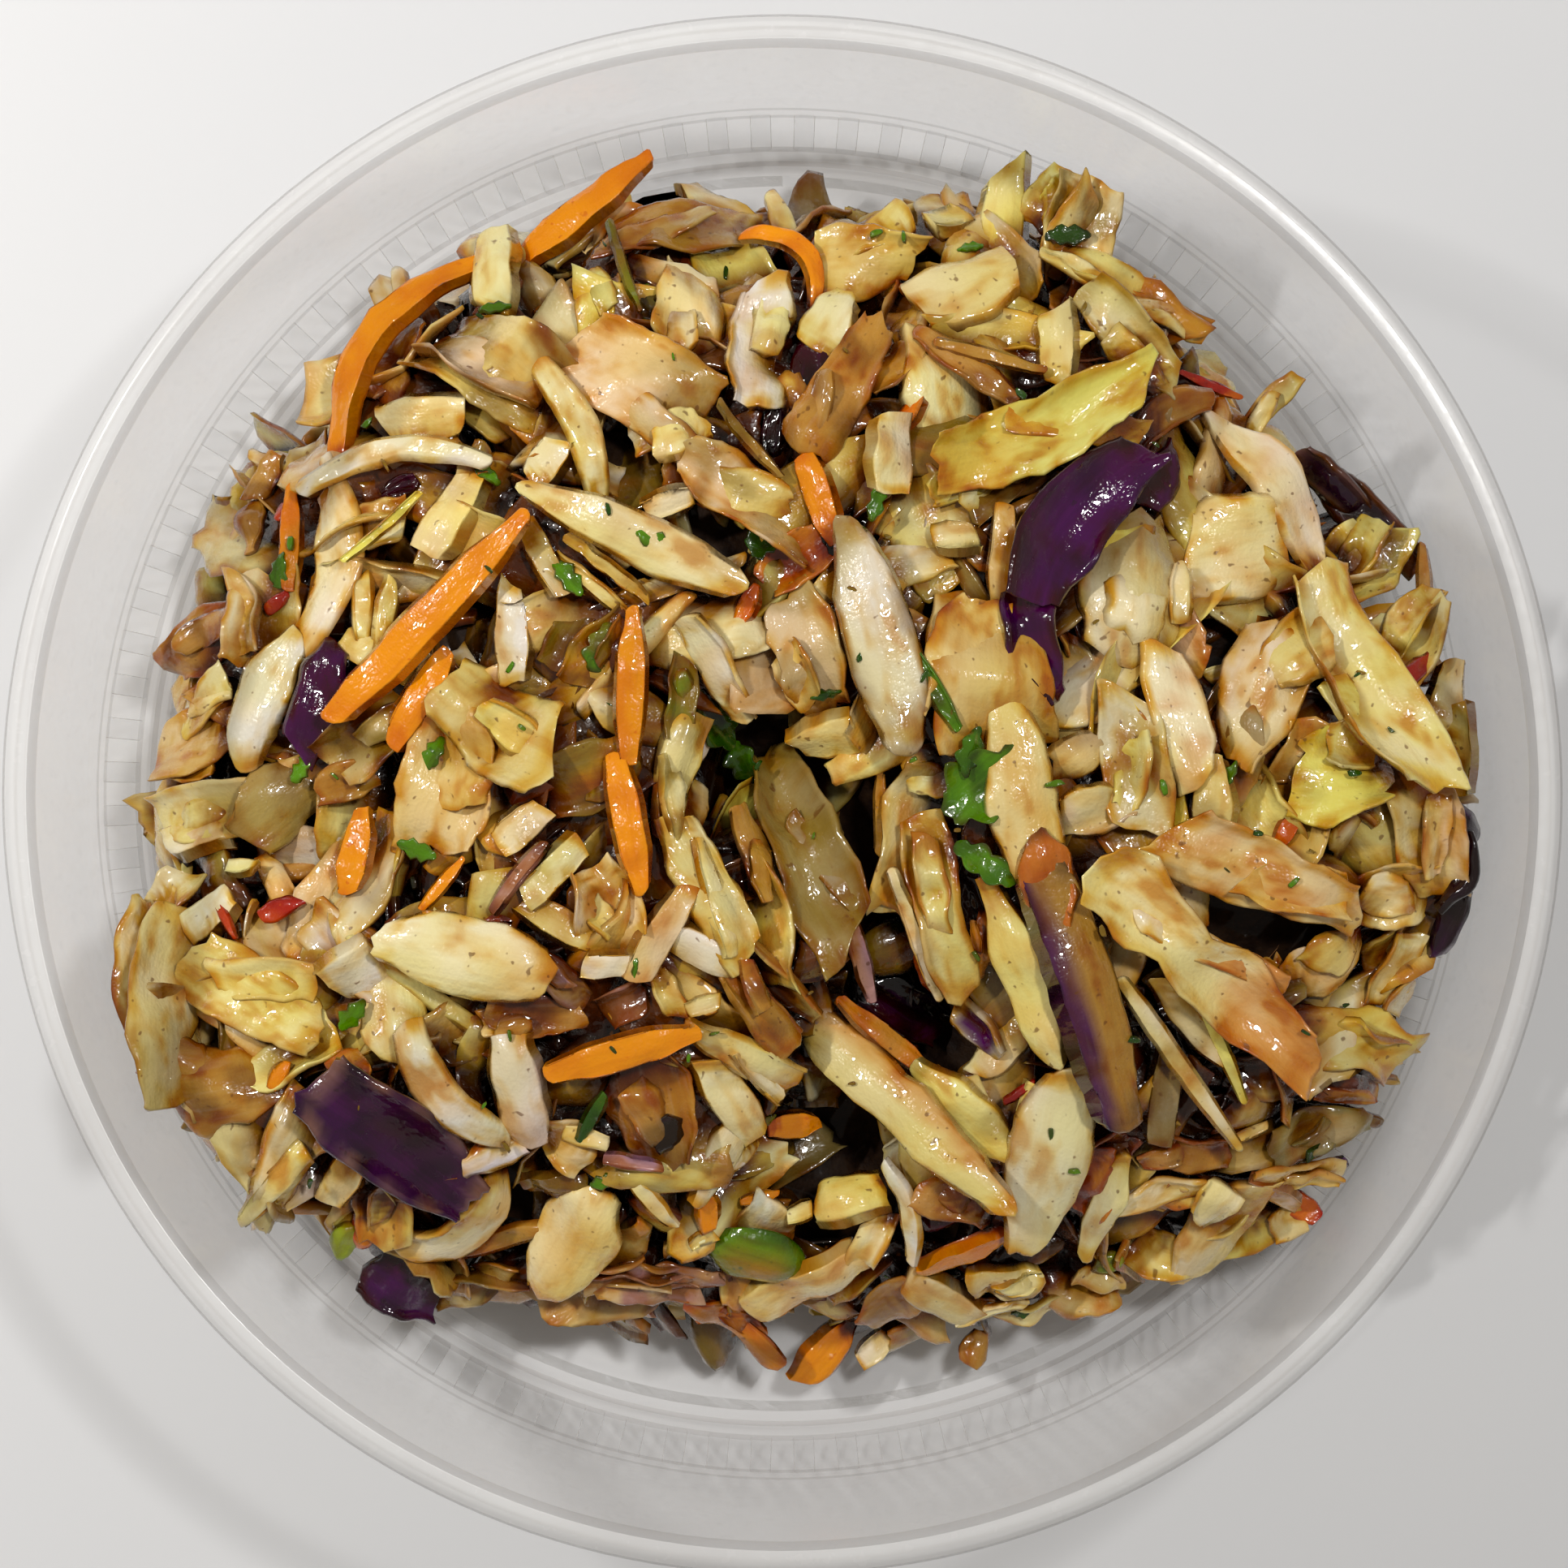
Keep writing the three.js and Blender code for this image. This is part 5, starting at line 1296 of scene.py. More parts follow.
@dataclass
class Cup:
    """The round cup with its rim, straight wall, ledge, ribbed band and foot.

    edge_width, lip_width and crease_width are how wide the grey lines of painted shade are at
    the rim's outer edge, its lip and the corners inside the cup.
    """

    sizes: CupSizes = field(default_factory=CupSizes)
    corner_steps: int = 4
    turn_steps: int = 192
    rib_bevel: float = 0.22
    edge_width: float = 0.35
    lip_width: float = 0.15
    lip_depth: float = 0.5
    crease_width: float = 0.32

    def section(self) -> list[tuple[float, float, float]]:
        """Corners of the wall in section, each with its radius, height and rounding."""
        s = self.sizes
        skirt_inner = s.rim_radius - s.skirt_wall
        skirt_top = s.height - s.wall
        return [
            (s.foot_inner_radius, s.wall, 0.3),
            (s.foot_inner_radius + s.wall, 0, 0.25),
            (s.foot_outer_radius, 0, 0.5),
            (s.band_bottom_radius + s.wall, s.band_bottom - s.wall, 0.6),
            (s.band_top_radius + s.wall, s.band_top, 0.3),
            (s.wall_foot_radius + s.wall, s.ledge_top, 0.3),
            (s.wall_top_radius + s.wall, skirt_top, 0.12),
            (skirt_inner, skirt_top, 0.1),
            (skirt_inner, s.height - s.skirt_depth, 0.1),
            (s.rim_radius, s.height - s.skirt_depth, 0.25),
            (s.rim_radius, s.height - s.wall, 0.35),
            (s.rim_radius - s.wall, s.height, 0.35),
            (s.lip_inner_radius, s.height, 0.3),
            (s.wall_top_radius, s.height - s.wall, 0.3),
            (s.wall_foot_radius, s.ledge_top, 0.3),
            (s.band_top_radius, s.band_top, 0.3),
            (s.band_bottom_radius, s.band_bottom, 0.4),
            (s.floor_radius, s.floor_top, 0.5),
        ]

    def rounded(self) -> list[tuple[float, float]]:
        """The section with its corners rounded."""
        corners = self.section()
        s = self.sizes
        ends = [(0.0, s.wall, 0.0), *corners, (0.0, s.floor_top, 0.0)]
        line = [(0.0, s.wall)]
        for before, here, after in zip(ends, ends[1:], ends[2:]):
            middle = np.array(here[:2])
            back = np.array(before[:2]) - middle
            ahead = np.array(after[:2]) - middle
            cut = min(here[2], 0.45 * np.hypot(*back), 0.45 * np.hypot(*ahead))
            start = middle + unit(back) * cut
            end = middle + unit(ahead) * cut
            for step in range(self.corner_steps + 1):
                t = step / self.corner_steps
                point = (1 - t) ** 2 * start + 2 * t * (1 - t) * middle + t**2 * end
                line.append((float(point[0]), float(point[1])))
        line.append((0.0, s.floor_top))
        return line

    def add_rib(self, shape: bmesh.types.BMesh, number: int) -> None:
        """Adds one upright rib of the band, bedded in the inner side of the wall."""
        s = self.sizes
        low = s.band_bottom + s.gap
        high = s.band_top - s.gap
        made = bmesh.ops.create_cube(shape, size=1)["verts"]
        for vert in made:
            x, y, z = vert.co
            share = z + 0.5
            radius = s.band_bottom_radius + (s.band_top_radius - s.band_bottom_radius) * share
            vert.co = (radius + x * 2 * s.rib_depth, y * s.rib_width, low + (high - low) * share)
        edges = list(dict.fromkeys(edge for vert in made for edge in vert.link_edges))
        bevel = {"offset": self.rib_bevel, "segments": 2, "profile": 0.5, "affect": "EDGES"}
        cut = bmesh.ops.bevel(shape, geom=edges, material=-1, **bevel)
        cut_verts = [vert for face in cut["faces"] for vert in face.verts]
        verts = list(dict.fromkeys(cut_verts + [vert for vert in made if vert.is_valid]))
        angle = (number + 0.5) * 2 * math.pi / s.rib_count
        turn = np.array([[math.cos(angle), -math.sin(angle)], [math.sin(angle), math.cos(angle)]])
        for face in {face for vert in verts for face in vert.link_faces}:
            face.normal_update()
            beside = abs(face.normal.y) > 0.8
            face.material_index = list(Zone).index(Zone.SIDE if beside else Zone.RIB)
        for vert in verts:
            vert.co.x, vert.co.y = turn @ (vert.co.x, vert.co.y)

    def zone_of(self, face: bmesh.types.BMFace) -> Zone:
        """The zone that a face of the spun wall belongs to, by its radius and height."""
        s = self.sizes
        middle = face.calc_center_median()
        radius = math.hypot(middle.x, middle.y)
        # Painted shade: grey lines at the rim's outer edge and along the inner lip
        if middle.z > s.height - s.skirt_depth - 0.1 and radius > s.wall_top_radius + s.wall:
            outer = radius > s.rim_radius - self.edge_width
            return Zone.EDGE if outer else Zone.RIM
        if middle.z > s.height - s.wall - self.lip_depth:
            return Zone.RIM if radius > s.lip_inner_radius + self.lip_width else Zone.EDGE
        # Painted shade: grey lines along the corners inside the cup
        creases = (
            (s.wall_foot_radius, s.ledge_top),
            (s.band_top_radius, s.band_top),
            (s.band_bottom_radius, s.band_bottom),
            (s.floor_radius, s.floor_top),
        )
        if any(math.hypot(radius - r, middle.z - z) < self.crease_width for r, z in creases):
            return Zone.CREASE
        return Zone.WALL if middle.z > s.band_bottom else Zone.FLOOR

    def build(self) -> bpy.types.Object:
        """Spins the section, adds the ribs and makes the cup's object."""
        shape = bmesh.new()
        line = [shape.verts.new((radius, 0, height)) for radius, height in self.rounded()]
        edges = [shape.edges.new(pair) for pair in zip(line, line[1:])]
        bmesh.ops.spin(
            shape,
            geom=line + edges,
            cent=(0, 0, 0),
            axis=(0, 0, 1),
            angle=2 * math.pi,
            steps=self.turn_steps,
            use_merge=True,
        )
        bmesh.ops.remove_doubles(shape, verts=shape.verts[:], dist=1e-4)
        bmesh.ops.recalc_face_normals(shape, faces=shape.faces[:])
        for face in shape.faces:
            face.material_index = list(Zone).index(self.zone_of(face))
        for number in range(self.sizes.rib_count):
            self.add_rib(shape, number)
        bmesh.ops.scale(shape, vec=(METRES, METRES, METRES), verts=shape.verts[:])
        mesh = mesh_from(shape, "clear_cup")
        for zone in Zone:
            mesh.materials.append(ClearPlastic(zone).make())
        made = show(mesh)
        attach(made, "root")
        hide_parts("cup")
        return made


@dataclass
class Core:
    """Dark inner body of the heap, which fills the gaps between the pieces with painted shade.

    share is how far it reaches beside the heap, and depth how deep below the heap's surface it
    lies. lump_height is how uneven it is, and clearance how far it stays off the floor.
    """

    cup: CupSizes
    mound: Mound
    rng: np.random.Generator
    share: float = 0.94
    depth: float = 4.6
    lump_height: float = 0.6
    clearance: float = 0.2
    turn_steps: int = 96
    height_steps: int = 40

    def build(self) -> bpy.types.Object:
        """Presses a ball into the heap's shape and makes its object."""
        shape = bmesh.new()
        bmesh.ops.create_uvsphere(
            shape, u_segments=self.turn_steps, v_segments=self.height_steps, radius=1
        )
        lumps = Ripple(self.rng, 5, 14, 8)
        points = np.array([vert.co[:] for vert in shape.verts])
        angle = np.arctan2(points[:, 1], points[:, 0])
        reach, _ = self.mound.rim(angle)
        flat = np.hypot(points[:, 0], points[:, 1])
        upper = points[:, 2] >= -TINY
        radius = reach * np.where(upper, flat, np.minimum(flat * 1.6, 1)) * self.share
        x = radius * np.cos(angle)
        y = radius * np.sin(angle)
        top = self.mound.height(x, y) - self.depth + lumps.at(x, y) * self.lump_height
        bottom = self.cup.floor_top + self.cup.gap + self.clearance
        edge_x = reach * self.share * np.cos(angle)
        edge_y = reach * self.share * np.sin(angle)
        edge_top = self.mound.height(edge_x, edge_y) - self.depth
        down = np.clip(-points[:, 2] * 1.5, 0, 1)
        height = np.where(upper, np.maximum(top, bottom), edge_top * (1 - down) + bottom * down)
        height = np.maximum(height, bottom)
        radius = radius * np.where(upper, 1, 0.95 + 0.05 * (0.9 + 0.1 * flat))
        for vert, r, turn, z in zip(shape.verts, radius, angle, height):
            vert.co = (r * math.cos(turn) * METRES, r * math.sin(turn) * METRES, z * METRES)
        bmesh.ops.remove_doubles(shape, verts=shape.verts[:], dist=TINY)
        bmesh.ops.recalc_face_normals(shape, faces=shape.faces[:])
        mesh = mesh_from(shape, "slaw_core")
        mesh.materials.append(GapShadeAndDressing().make())
        made = show(mesh)
        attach(made, "root")
        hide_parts("slaw")
        return made


@dataclass(frozen=True)
class Crevice:
    """How hollows of one size darken.

    reach is half their size in cells. A point is as dark as it gets where it lies low
    millimetres above its surroundings, which is below them, and unchanged from high upwards.
    film is how thick the dressing lies at the bottom, and least the share of light left there,
    which is painted shade.
    """

    reach: int
    low: float
    high: float
    film: float
    least: float


@dataclass(frozen=True)
class HeightGrid:
    """Square cells in plan, in which the heap's height is read.

    cell is their side and half how far they reach from the middle, in millimetres.
    """

    cell: float = 0.5
    half: float = 56.0

    def cells(self, points: np.ndarray) -> tuple[np.ndarray, np.ndarray]:
        """Column and row of the cell that each point stands over."""
        last = int(2 * self.half / self.cell) - 1
        places = np.clip(((points[:, :2] + self.half) / self.cell).astype(int), 0, last)
        return places[:, 0], places[:, 1]

    def tops(self, kinds: Iterable[Bits], base: float) -> np.ndarray:
        """Height of the highest piece over each cell, or base where there is none."""
        side = int(2 * self.half / self.cell)
        heights = np.full((side, side), base)
        for bits in kinds:
            for points in bits.points:
                np.maximum.at(heights, self.cells(points), points[:, 2])
        return heights

    def highest(self, heights: np.ndarray, x: float, y: float) -> float:
        """Greatest of the heights around a place."""
        i, j = int((x + self.half) / self.cell), int((y + self.half) / self.cell)
        return float(heights[max(i - 1, 0) : i + 2, max(j - 1, 0) : j + 2].max())


@dataclass
class Slaw:
    """The heap of dressed cabbage, carrot and herbs.

    arch is how far a piece bows upwards as a share of its length, and unrest how unevenly the
    pieces lean, in radians. Pieces longer than steady_length lean less, those longer than
    layered_length have all their leaves, and those longer than fine_length get the finest
    faces. twist is how far a piece may turn along its length, in degrees. leaf_shift,
    leaf_sizes, leaf_turn and leaf_roll are how the upper leaves of a piece differ from it.
    spread is how much of the heap's reach the small pieces cover. gaps are open places in the
    view, with their width in millimetres, and pieces that start less than gap_depth below the
    surface keep clear of them.
    """

    cup: CupSizes = field(default_factory=CupSizes)
    mound: Mound = field(default_factory=Mound)
    view: View = field(default_factory=View)
    rng: np.random.Generator = field(default_factory=lambda: np.random.default_rng(SEED))
    arch: float = 0.06
    unrest: float = 0.2
    steady_length: float = 12.0
    steadiness: float = 0.4
    twist: float = 26.0
    leaf_shift: float = 0.28
    leaf_sizes: tuple[float, float] = (0.4, 0.75)
    leaf_turn: float = 24.0
    leaf_roll: float = 20.0
    spread: float = 0.97
    fleck_spread: float = 0.95
    layered_length: float = 5.0
    fine_length: float = 3.5
    small_lengths: tuple[float, float] = (5.5, 13.0)
    small_width_shares: tuple[float, float] = (0.4, 0.72)
    small_strip_widths: tuple[float, float] = (1.4, 2.6)
    grid: HeightGrid = field(default_factory=HeightGrid)
    # Dressing film and painted shade in the hollows, wide ones and then narrow ones
    crevices: tuple[Crevice, ...] = (
        Crevice(reach=5, low=-2.7, high=0.5, film=2.3, least=0.05),
        Crevice(reach=2, low=-1.1, high=0.0, film=1.4, least=0.8),
    )
    gap_depth: float = 3.0
    gaps: tuple[tuple[float, float, float], ...] = (
        (970, 930, 8),
        (1030, 1030, 6.5),
        (1110, 1255, 8),
        (1030, 1435, 8),
        (640, 1475, 5),
        (1155, 1512, 4),
        (480, 930, 4),
        (800, 590, 4.5),
        (910, 660, 4),
        (1520, 1140, 4),
        (935, 870, 5),
        (1000, 985, 6),
        (1065, 1135, 5),
        (1150, 1285, 5),
        (1085, 1480, 6),
        (990, 1390, 4),
    )
    golden: float = math.pi * (3 - math.sqrt(5))
    kinds: dict[str, Bits] = field(default_factory=dict)

    def __post_init__(self) -> None:
        """Lays out the blocks and the kinds of piece."""
        self.knife = Knife(self.rng)
        self.fine = Slab(22, 8, 2)
        self.coarse = Slab(12, 6, 1)
        self.tiny = Slab(8, 5, 2)
        self.speck = Slab(4, 3, 1)
        cabbage = WetFood("wet_cabbage").make()
        heart = WetFood("cabbage_heart", sauce_share=0.5).make()
        shreds = WetFood("packed_shreds").make()
        browned = WetFood("browned_cabbage", sauce_share=0.85, streak=0.3).make()
        purple = WetFood(
            "purple_skin", 0.4, Tone.SOOT, 0.4, 0.3,
            roughness=(0.08, 0.2), shine=(0.3, 0.03, 0.3, 1),
        ).make()
        carrot = WetFood(
            "wet_carrot", 0.12, Tone.RUST, 0.6, 0.2, shine=(1, 0.5, 0.02, 1)
        ).make()
        herb = WetFood(
            "wet_herb", 0.4, Tone.PINE, 0.6, 0.5, 1.6, shine=(0.3, 0.45, 0.05, 1)
        ).make()
        pepper = WetFood(
            "red_pepper", 0.4, Tone.RUST, 0.4, 0.3, 1.0, shine=(0.9, 0.1, 0.02, 1)
        ).make()
        names = {
            "cabbage_leaves": cabbage,
            "cabbage_hearts": heart,
            "cabbage_ribs": heart,
            "cabbage_strips": cabbage,
            "browned_bits": browned,
            "purple_cabbage": purple,
            "purple_edged_rind": cabbage,
            "carrot_sticks": carrot,
            "parsley": herb,
            "pepper_flakes": pepper,
            "green_beans": herb,
            "top_shreds": shreds,
            "under_shreds": shreds,
            "side_shreds": shreds,
            "herb_flecks": herb,
        }
        self.kinds = {name: Bits(name, material) for name, material in names.items()}

    def kind_of(self, cut: Cut) -> Bits:
        """The object that a sort of piece belongs to."""
        kinds = {
            Cut.LEAF: "cabbage_leaves",
            Cut.PETAL: "cabbage_hearts",
            Cut.RIB: "cabbage_ribs",
            Cut.CHUNK: "cabbage_ribs",
            Cut.FAN: "cabbage_strips",
            Cut.STRIP: "cabbage_strips",
            Cut.HUSK: "browned_bits",
            Cut.RIND: "purple_edged_rind",
            Cut.PURPLE: "purple_cabbage",
            Cut.CARROT: "carrot_sticks",
            Cut.HERB: "parsley",
            Cut.FLAKE: "pepper_flakes",
            Cut.BEAN: "green_beans",
        }
        return self.kinds[kinds[cut]]

    def spine_on_heap(self, piece: Piece, middle: np.ndarray) -> Spine:
        """Bowed line of a piece that lies on the heap's slope."""
        turn = math.radians(piece.turn)
        forward = np.array([math.cos(turn), math.sin(turn), 0])
        left = np.array([-math.sin(turn), math.cos(turn), 0])
        middle = middle - left * piece.bend * 2 / 3
        lean = math.atan(self.mound.climb(middle, left)) + math.radians(piece.roll)
        steadiness = self.steadiness if piece.long > self.steady_length else 1
        lean += self.rng.normal(0, self.unrest) * steadiness
        ahead = forward * piece.long / 2
        rise = self.mound.climb(middle, forward) + math.sin(math.radians(piece.tilt))
        ahead[2] = rise * piece.long / 2
        knee = middle + left * piece.bend * 2
        knee[2] += self.arch * piece.long * 2
        twist = self.rng.uniform(-self.twist, self.twist)
        return Spine(middle - ahead, knee, middle + ahead, np.array([0, 0, 1.0]), lean, twist)

    def layered(self, piece: Piece) -> list[Piece]:
        """The leaves that a piece is made of, the lowest first."""
        leaves = [piece]
        section = piece.cut.value
        for layer in range(1, section.layers if piece.long > self.layered_length else 1):
            shift = self.rng.uniform(-self.leaf_shift, self.leaf_shift, 2)
            shift = shift * (piece.long, piece.wide)
            turn = math.radians(piece.turn)
            ahead = shift[0] * math.cos(turn) - shift[1] * math.sin(turn)
            up = shift[0] * math.sin(turn) + shift[1] * math.cos(turn)
            leaves.append(
                replace(
                    piece,
                    x=piece.x + ahead * self.view.per_millimetre,
                    y=piece.y - up * self.view.per_millimetre,
                    long=piece.long * self.rng.uniform(*self.leaf_sizes),
                    wide=piece.wide * self.rng.uniform(*self.leaf_sizes),
                    turn=piece.turn + self.rng.uniform(-self.leaf_turn, self.leaf_turn),
                    rise=piece.rise + section.thick * 0.55 * layer + 0.3,
                    bend=piece.bend * 0.7,
                    roll=piece.roll + self.rng.uniform(-self.leaf_roll, self.leaf_roll),
                )
            )
        return leaves

    def lay_named(self, pieces: Sequence[Piece]) -> None:
        """Lays the pieces that are placed one by one."""
        for piece in [leaf for whole in pieces for leaf in self.layered(whole)]:
            guess = self.view.place(piece.x, piece.y, self.mound.top)
            height = float(self.mound.height(guess[0], guess[1])) + piece.rise
            middle = self.view.place(piece.x, piece.y, height)
            slab = self.fine if piece.long > self.fine_length else self.tiny
            spine = self.spine_on_heap(piece, middle)
            self.knife.lay(slab, piece, spine, self.cup, self.kind_of(piece.cut))

    def random_piece(self, shade: float, brown: float) -> Piece:
        """Draws one of the many small pieces between the others.

        Args:
            shade: Scale of its colour.
            brown: Share of the pieces that the dressing has browned.

        Returns:
            The piece, not yet placed.
        """
        pale = [Tone.CREAM, Tone.PALE, Tone.BEIGE, Tone.WHITE, Tone.CREAM, Tone.WHITE]
        dark = [Tone.TAN, Tone.OLIVE, Tone.GREY, Tone.YELLOW]
        tone = self.rng.choice(dark if self.rng.random() < brown else pale)
        cut = self.rng.choice(
            [Cut.LEAF, Cut.LEAF, Cut.STRIP, Cut.FAN, Cut.HUSK, Cut.CHUNK, Cut.PETAL]
        )
        long = self.rng.uniform(*self.small_lengths)
        if cut is Cut.STRIP:
            wide = self.rng.uniform(*self.small_strip_widths)
        else:
            wide = self.rng.uniform(*self.small_width_shares) * long
        turn = self.rng.uniform(0, 360)
        tilt = self.rng.uniform(-11, 11)
        roll = self.rng.uniform(-28, 28)
        stain = self.rng.choice([Tone.TAN, Tone.BROWN, Tone.AMBER, Tone.OLIVE])
        shade = shade * self.rng.uniform(0.8, 1.1)
        return Piece(
            cut, 0, 0, long, wide, turn, 0, tone, stain, 0.5, tilt=tilt, roll=roll, shade=shade
        )

    def scatter(
        self, kind: str, count: int, depths: tuple[float, float], shade: float, brown: float
    ) -> None:
        """Spreads small pieces evenly over the heap.

        Args:
            kind: The object that they go into.
            count: How many.
            depths: Least and greatest depth below the heap's surface, in millimetres.
            shade: Scale of their colours, which below 1 is painted shade of lying deep.
            brown: Share of them that the dressing has browned.
        """
        offset = self.rng.uniform(0, 2 * math.pi)
        for number in range(count):
            angle = offset + number * self.golden + self.rng.uniform(-0.1, 0.1)
            reach, _ = self.mound.rim(np.array(angle))
            radius = float(reach) * math.sqrt((number + 0.5) / count) * self.spread
            piece = self.random_piece(shade, brown)
            place = np.array([radius * math.cos(angle), radius * math.sin(angle), 0])
            place[2] = float(self.mound.height(place[0], place[1])) - self.rng.uniform(*depths)
            spare = piece.long * 0.3 if depths[0] < self.gap_depth else -1.0
            if self.in_gap(place, spare):
                continue
            spine = self.spine_on_heap(piece, place)
            self.knife.lay(self.coarse, piece, spine, self.cup, self.kinds[kind])

    def paint_crevice_shade_and_dressing(self) -> None:
        """Browns the crevices and folds, where the dressing gathers, and paints shade into them."""
        heights = self.grid.tops(self.kinds.values(), self.cup.floor_top)
        inner = [bits for bits in self.kinds.values() if bits.name != "side_shreds"]
        for crevice in self.crevices:
            around = heights
            for axis in (0, 1):
                shifts = range(-crevice.reach, crevice.reach + 1)
                around = np.mean([np.roll(around, shift, axis) for shift in shifts], axis=0)
            for bits in inner:
                for number, points in enumerate(bits.points):
                    above = points[:, 2] - around[self.grid.cells(points)]
                    share = smooth(crevice.low, crevice.high, above)[:, None]
                    # Painted shade: a point is darkened the further it lies below the heights
                    # around it
                    shadow = crevice.least + (1 - crevice.least) * share
                    film = DRESSING ** (crevice.film * (1 - share))
                    bits.tints[number] = bits.tints[number] * film * shadow

    def in_gap(self, place: np.ndarray, spare: float) -> bool:
        """Whether a place lies in an open gap between the pieces, or as near as spare to it."""
        for x, y, across in self.gaps:
            gap = self.view.place(x, y, self.mound.top)
            if math.hypot(*(place[:2] - gap[:2])) < across / 2 + spare:
                return True
        return False

    def strew(
        self, kind: str, cut: Cut, tones: Sequence[Tone], count: int, sizes: tuple[float, float]
    ) -> None:
        """Strews tiny bits over the pieces that show.

        Args:
            kind: The object that they go into.
            cut: Their sort.
            tones: Colours to draw from.
            count: How many.
            sizes: Shortest and longest, in millimetres.
        """
        heights = self.grid.tops(self.kinds.values(), NOTHING)
        for _ in range(count):
            angle = self.rng.uniform(0, 2 * math.pi)
            reach, _ = self.mound.rim(np.array(angle))
            radius = float(reach) * math.sqrt(self.rng.random()) * self.fleck_spread
            x, y = radius * math.cos(angle), radius * math.sin(angle)
            long = self.rng.uniform(*sizes)
            place = np.array([x, y, self.grid.highest(heights, x, y)])
            if place[2] == NOTHING:
                continue
            wide = long * self.rng.uniform(0.45, 0.9)
            turn = self.rng.uniform(0, 360)
            tone = self.rng.choice(tones)
            piece = Piece(cut, 0, 0, long, wide, turn, 0, tone, Tone.BROWN, 0.3)
            spine = self.spine_on_heap(piece, place)
            self.knife.lay(self.speck, piece, spine, self.cup, self.kinds[kind])

    def line_sides(self, count: int) -> None:
        """Stands small pieces against the outer side of the heap, down to the cup's floor."""
        for number in range(count):
            angle = number * self.golden + self.rng.uniform(-0.05, 0.05)
            reach, edge = self.mound.rim(np.array(angle))
            height = self.cup.floor_top + 1 + (float(edge) - 2.5) * self.rng.random()
            share = (height - self.cup.floor_top) / max(float(edge), 1)
            radius = float(reach) * (0.93 + 0.05 * share) - self.rng.uniform(0, 1.5)
            outward = np.array([math.cos(angle), math.sin(angle), 0])
            along = np.array([-math.sin(angle), math.cos(angle), 0])
            piece = self.random_piece(shade=1.06, brown=0.12)
            tilt = self.rng.normal(0, 0.5)
            forward = along * math.cos(tilt) + np.array([0, 0, math.sin(tilt)])
            middle = outward * radius + np.array([0, 0, height])
            ahead = forward * piece.long / 2
            knee = middle + outward * 0.8
            spine = Spine(middle - ahead, knee, middle + ahead, outward, self.rng.normal(0, 0.35))
            self.knife.lay(self.coarse, piece, spine, self.cup, self.kinds["side_shreds"])

    def build(self) -> list[bpy.types.Object]:
        """Makes the heap, its core first."""
        made = [Core(self.cup, self.mound, self.rng).build()]
        # The lower layers are darker, shade 0.6 and 0.9, as painted shade of lying deep
        self.scatter("under_shreds", 150, depths=(3.8, 5.4), shade=0.6, brown=0.4)
        self.scatter("under_shreds", 240, depths=(2.0, 3.2), shade=0.9, brown=0.28)
        self.scatter("top_shreds", 350, depths=(0.3, 1.7), shade=1.04, brown=0.16)
        self.line_sides(320)
        for pieces in (MAIN_PIECES, SMALL_PIECES, BRIGHT_PIECES):
            self.lay_named(pieces)
        greens = (Tone.GREEN, Tone.PINE, Tone.OLIVE)
        self.strew("herb_flecks", Cut.CRUMB, greens, 60, sizes=(0.4, 1.1))
        self.paint_crevice_shade_and_dressing()
        made += [bits.build() for bits in self.kinds.values() if bits.count]
        return made


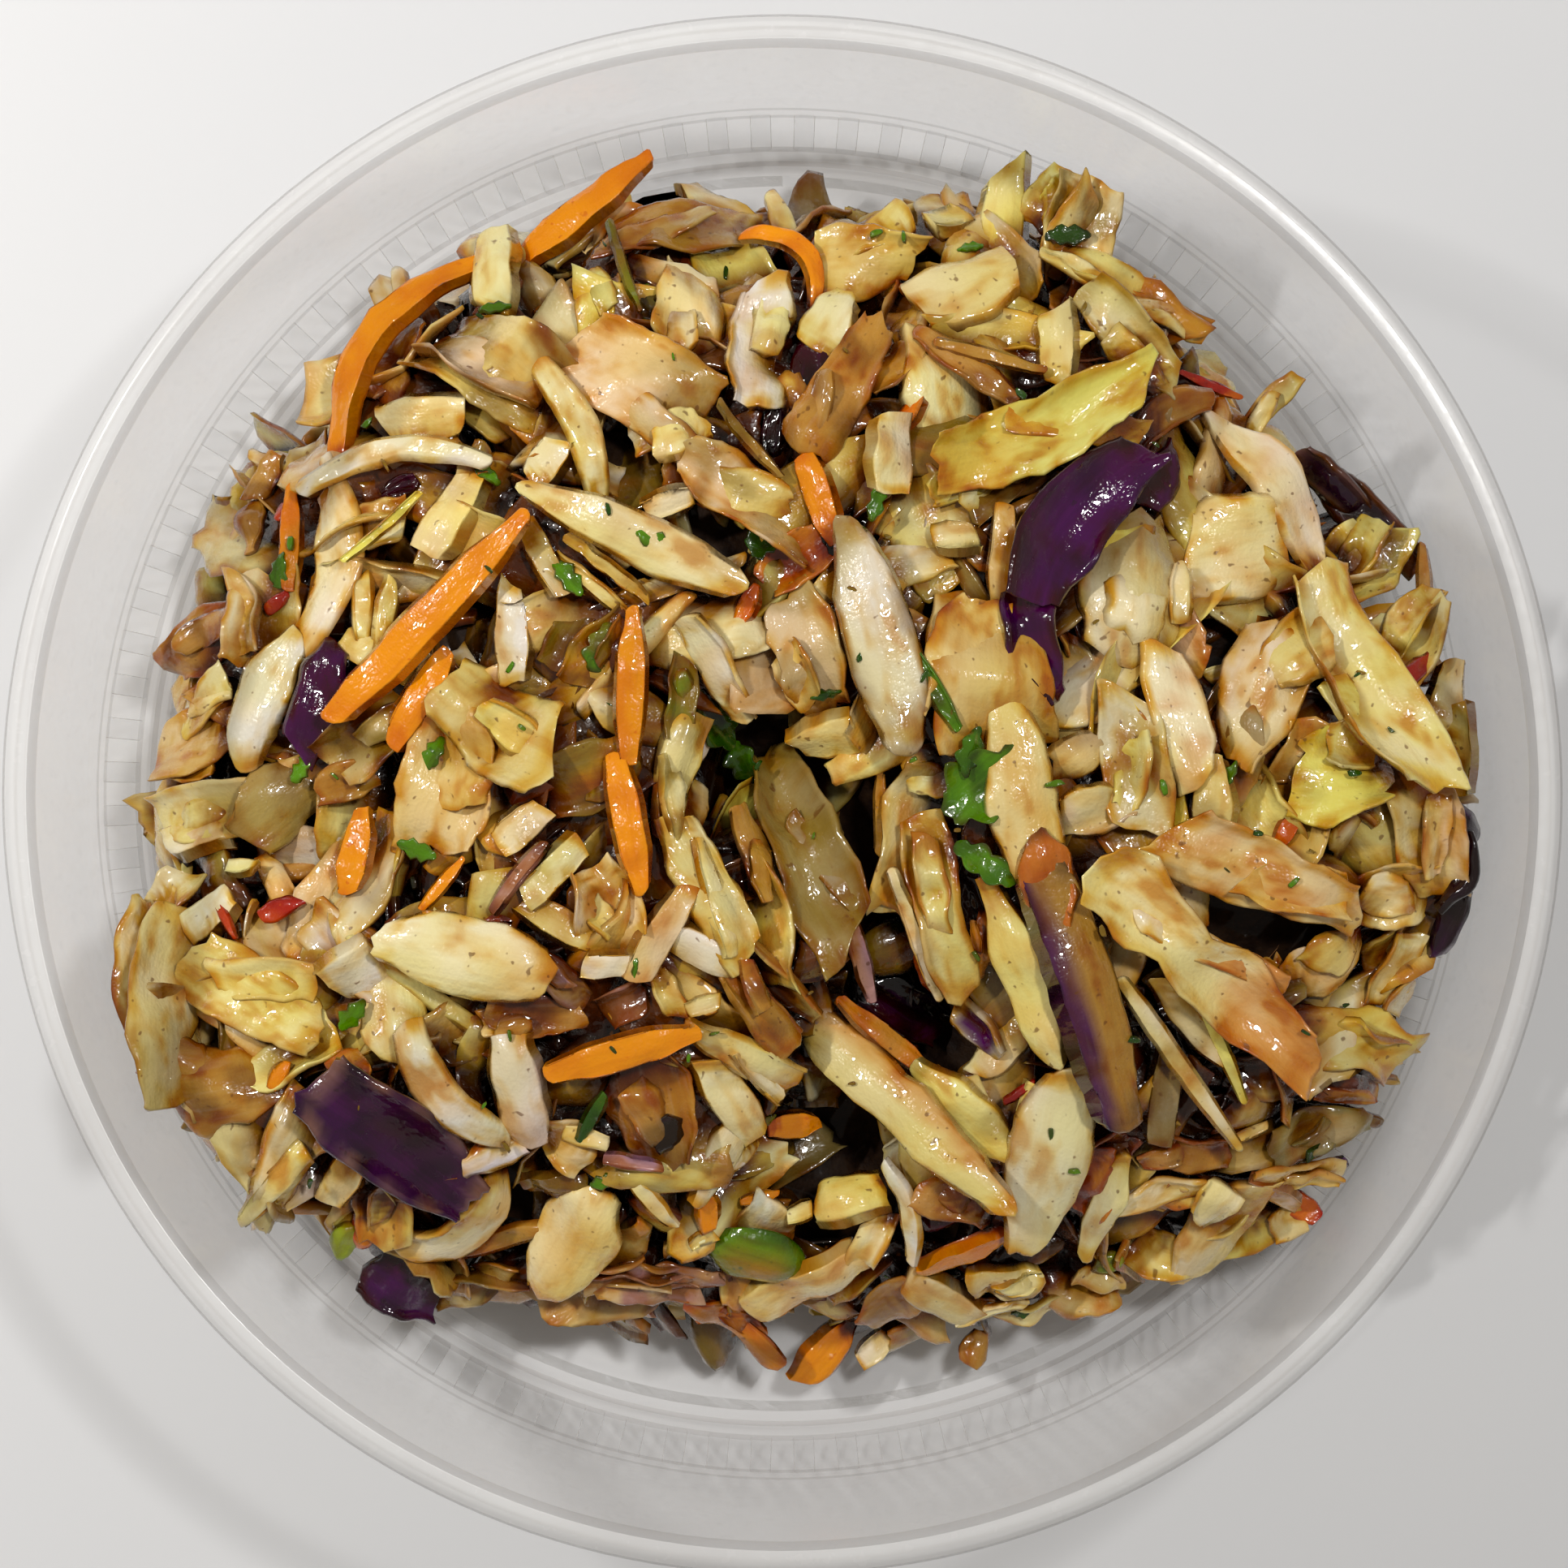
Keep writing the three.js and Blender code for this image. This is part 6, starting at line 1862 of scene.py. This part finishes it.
@dataclass(frozen=True)
class Studio:
    """Pale floor, soft lights and the camera straight above."""

    view: View = field(default_factory=View)
    floor_side: float = 3.0
    aim: tuple[float, float, float] = (0, 0, 0.02)
    room_tone: tuple[float, float, float, float] = (1, 0.93, 0.84, 1)
    room_strength: float = 0.23

    def build_floor(self) -> None:
        """Makes the floor that the cup stands on."""
        shape = bmesh.new()
        bmesh.ops.create_grid(shape, x_segments=1, y_segments=1, size=self.floor_side / 2)
        mesh = mesh_from(shape, "floor", softly=False)
        mesh.materials.append(PaleTable().make())
        floor = show(mesh)

    def add_lamp(
        self, name: str, place: Sequence[float], side: float, power: float, tone: Sequence[float]
    ) -> None:
        """Adds a square soft lamp that faces the heap.

        Args:
            name: Name of the lamp.
            place: Its place in metres.
            side: Its size in metres.
            power: Its strength in watts.
            tone: Its colour.
        """
        light = bpy.data.lights.new(name, "AREA")
        light.size = side
        light.energy = power
        light.color = tone
        lamp = bpy.data.objects.new(name, light)
        lamp.location = place
        aim = np.array(self.aim) - np.array(place)
        level = math.hypot(aim[0], aim[1])
        lamp.rotation_euler = (math.atan2(level, -aim[2]), 0, math.atan2(aim[0], -aim[1]))
        bpy.context.scene.collection.objects.link(lamp)

    def build(self) -> None:
        """Makes the floor, lamps, surroundings and camera."""
        self.build_floor()
        self.add_lamp("key", (-0.33, 0.17, 0.5), side=0.06, power=5.75, tone=(1, 0.975, 0.94))
        self.add_lamp("top", (0.14, 0.12, 0.62), side=0.06, power=1.6, tone=(1, 0.99, 0.97))
        world = bpy.data.worlds.new("room")
        world.use_nodes = True
        room = world.node_tree.nodes["Background"]
        room.inputs["Color"].default_value = self.room_tone
        room.inputs["Strength"].default_value = self.room_strength
        bpy.context.scene.world = world
        scene = bpy.context.scene
        scene.view_settings.view_transform = "Standard"
        scene.cycles.max_bounces = 4
        scene.cycles.diffuse_bounces = 2
        scene.cycles.glossy_bounces = 2
        scene.cycles.adaptive_threshold = 0.08
        camera = bpy.data.cameras.new("camera")
        camera.lens = self.view.lens
        camera.sensor_width = 36
        camera.sensor_fit = "HORIZONTAL"
        camera.clip_start = 0.01
        eye = bpy.data.objects.new("camera", camera)
        eye.location = (
            self.view.eye_x * METRES,
            self.view.eye_y * METRES,
            self.view.eye_height * METRES,
        )
        scene.collection.objects.link(eye)
        scene.camera = eye


def main() -> None:
    """Builds the cup, the slaw and the studio, and logs the face count of each mesh object."""
    logging.basicConfig(level=logging.INFO, format="%(name)s: %(message)s")
    Cup().build()
    Slaw().build()
    Studio().build()


if __name__ == "__main__":
    main()
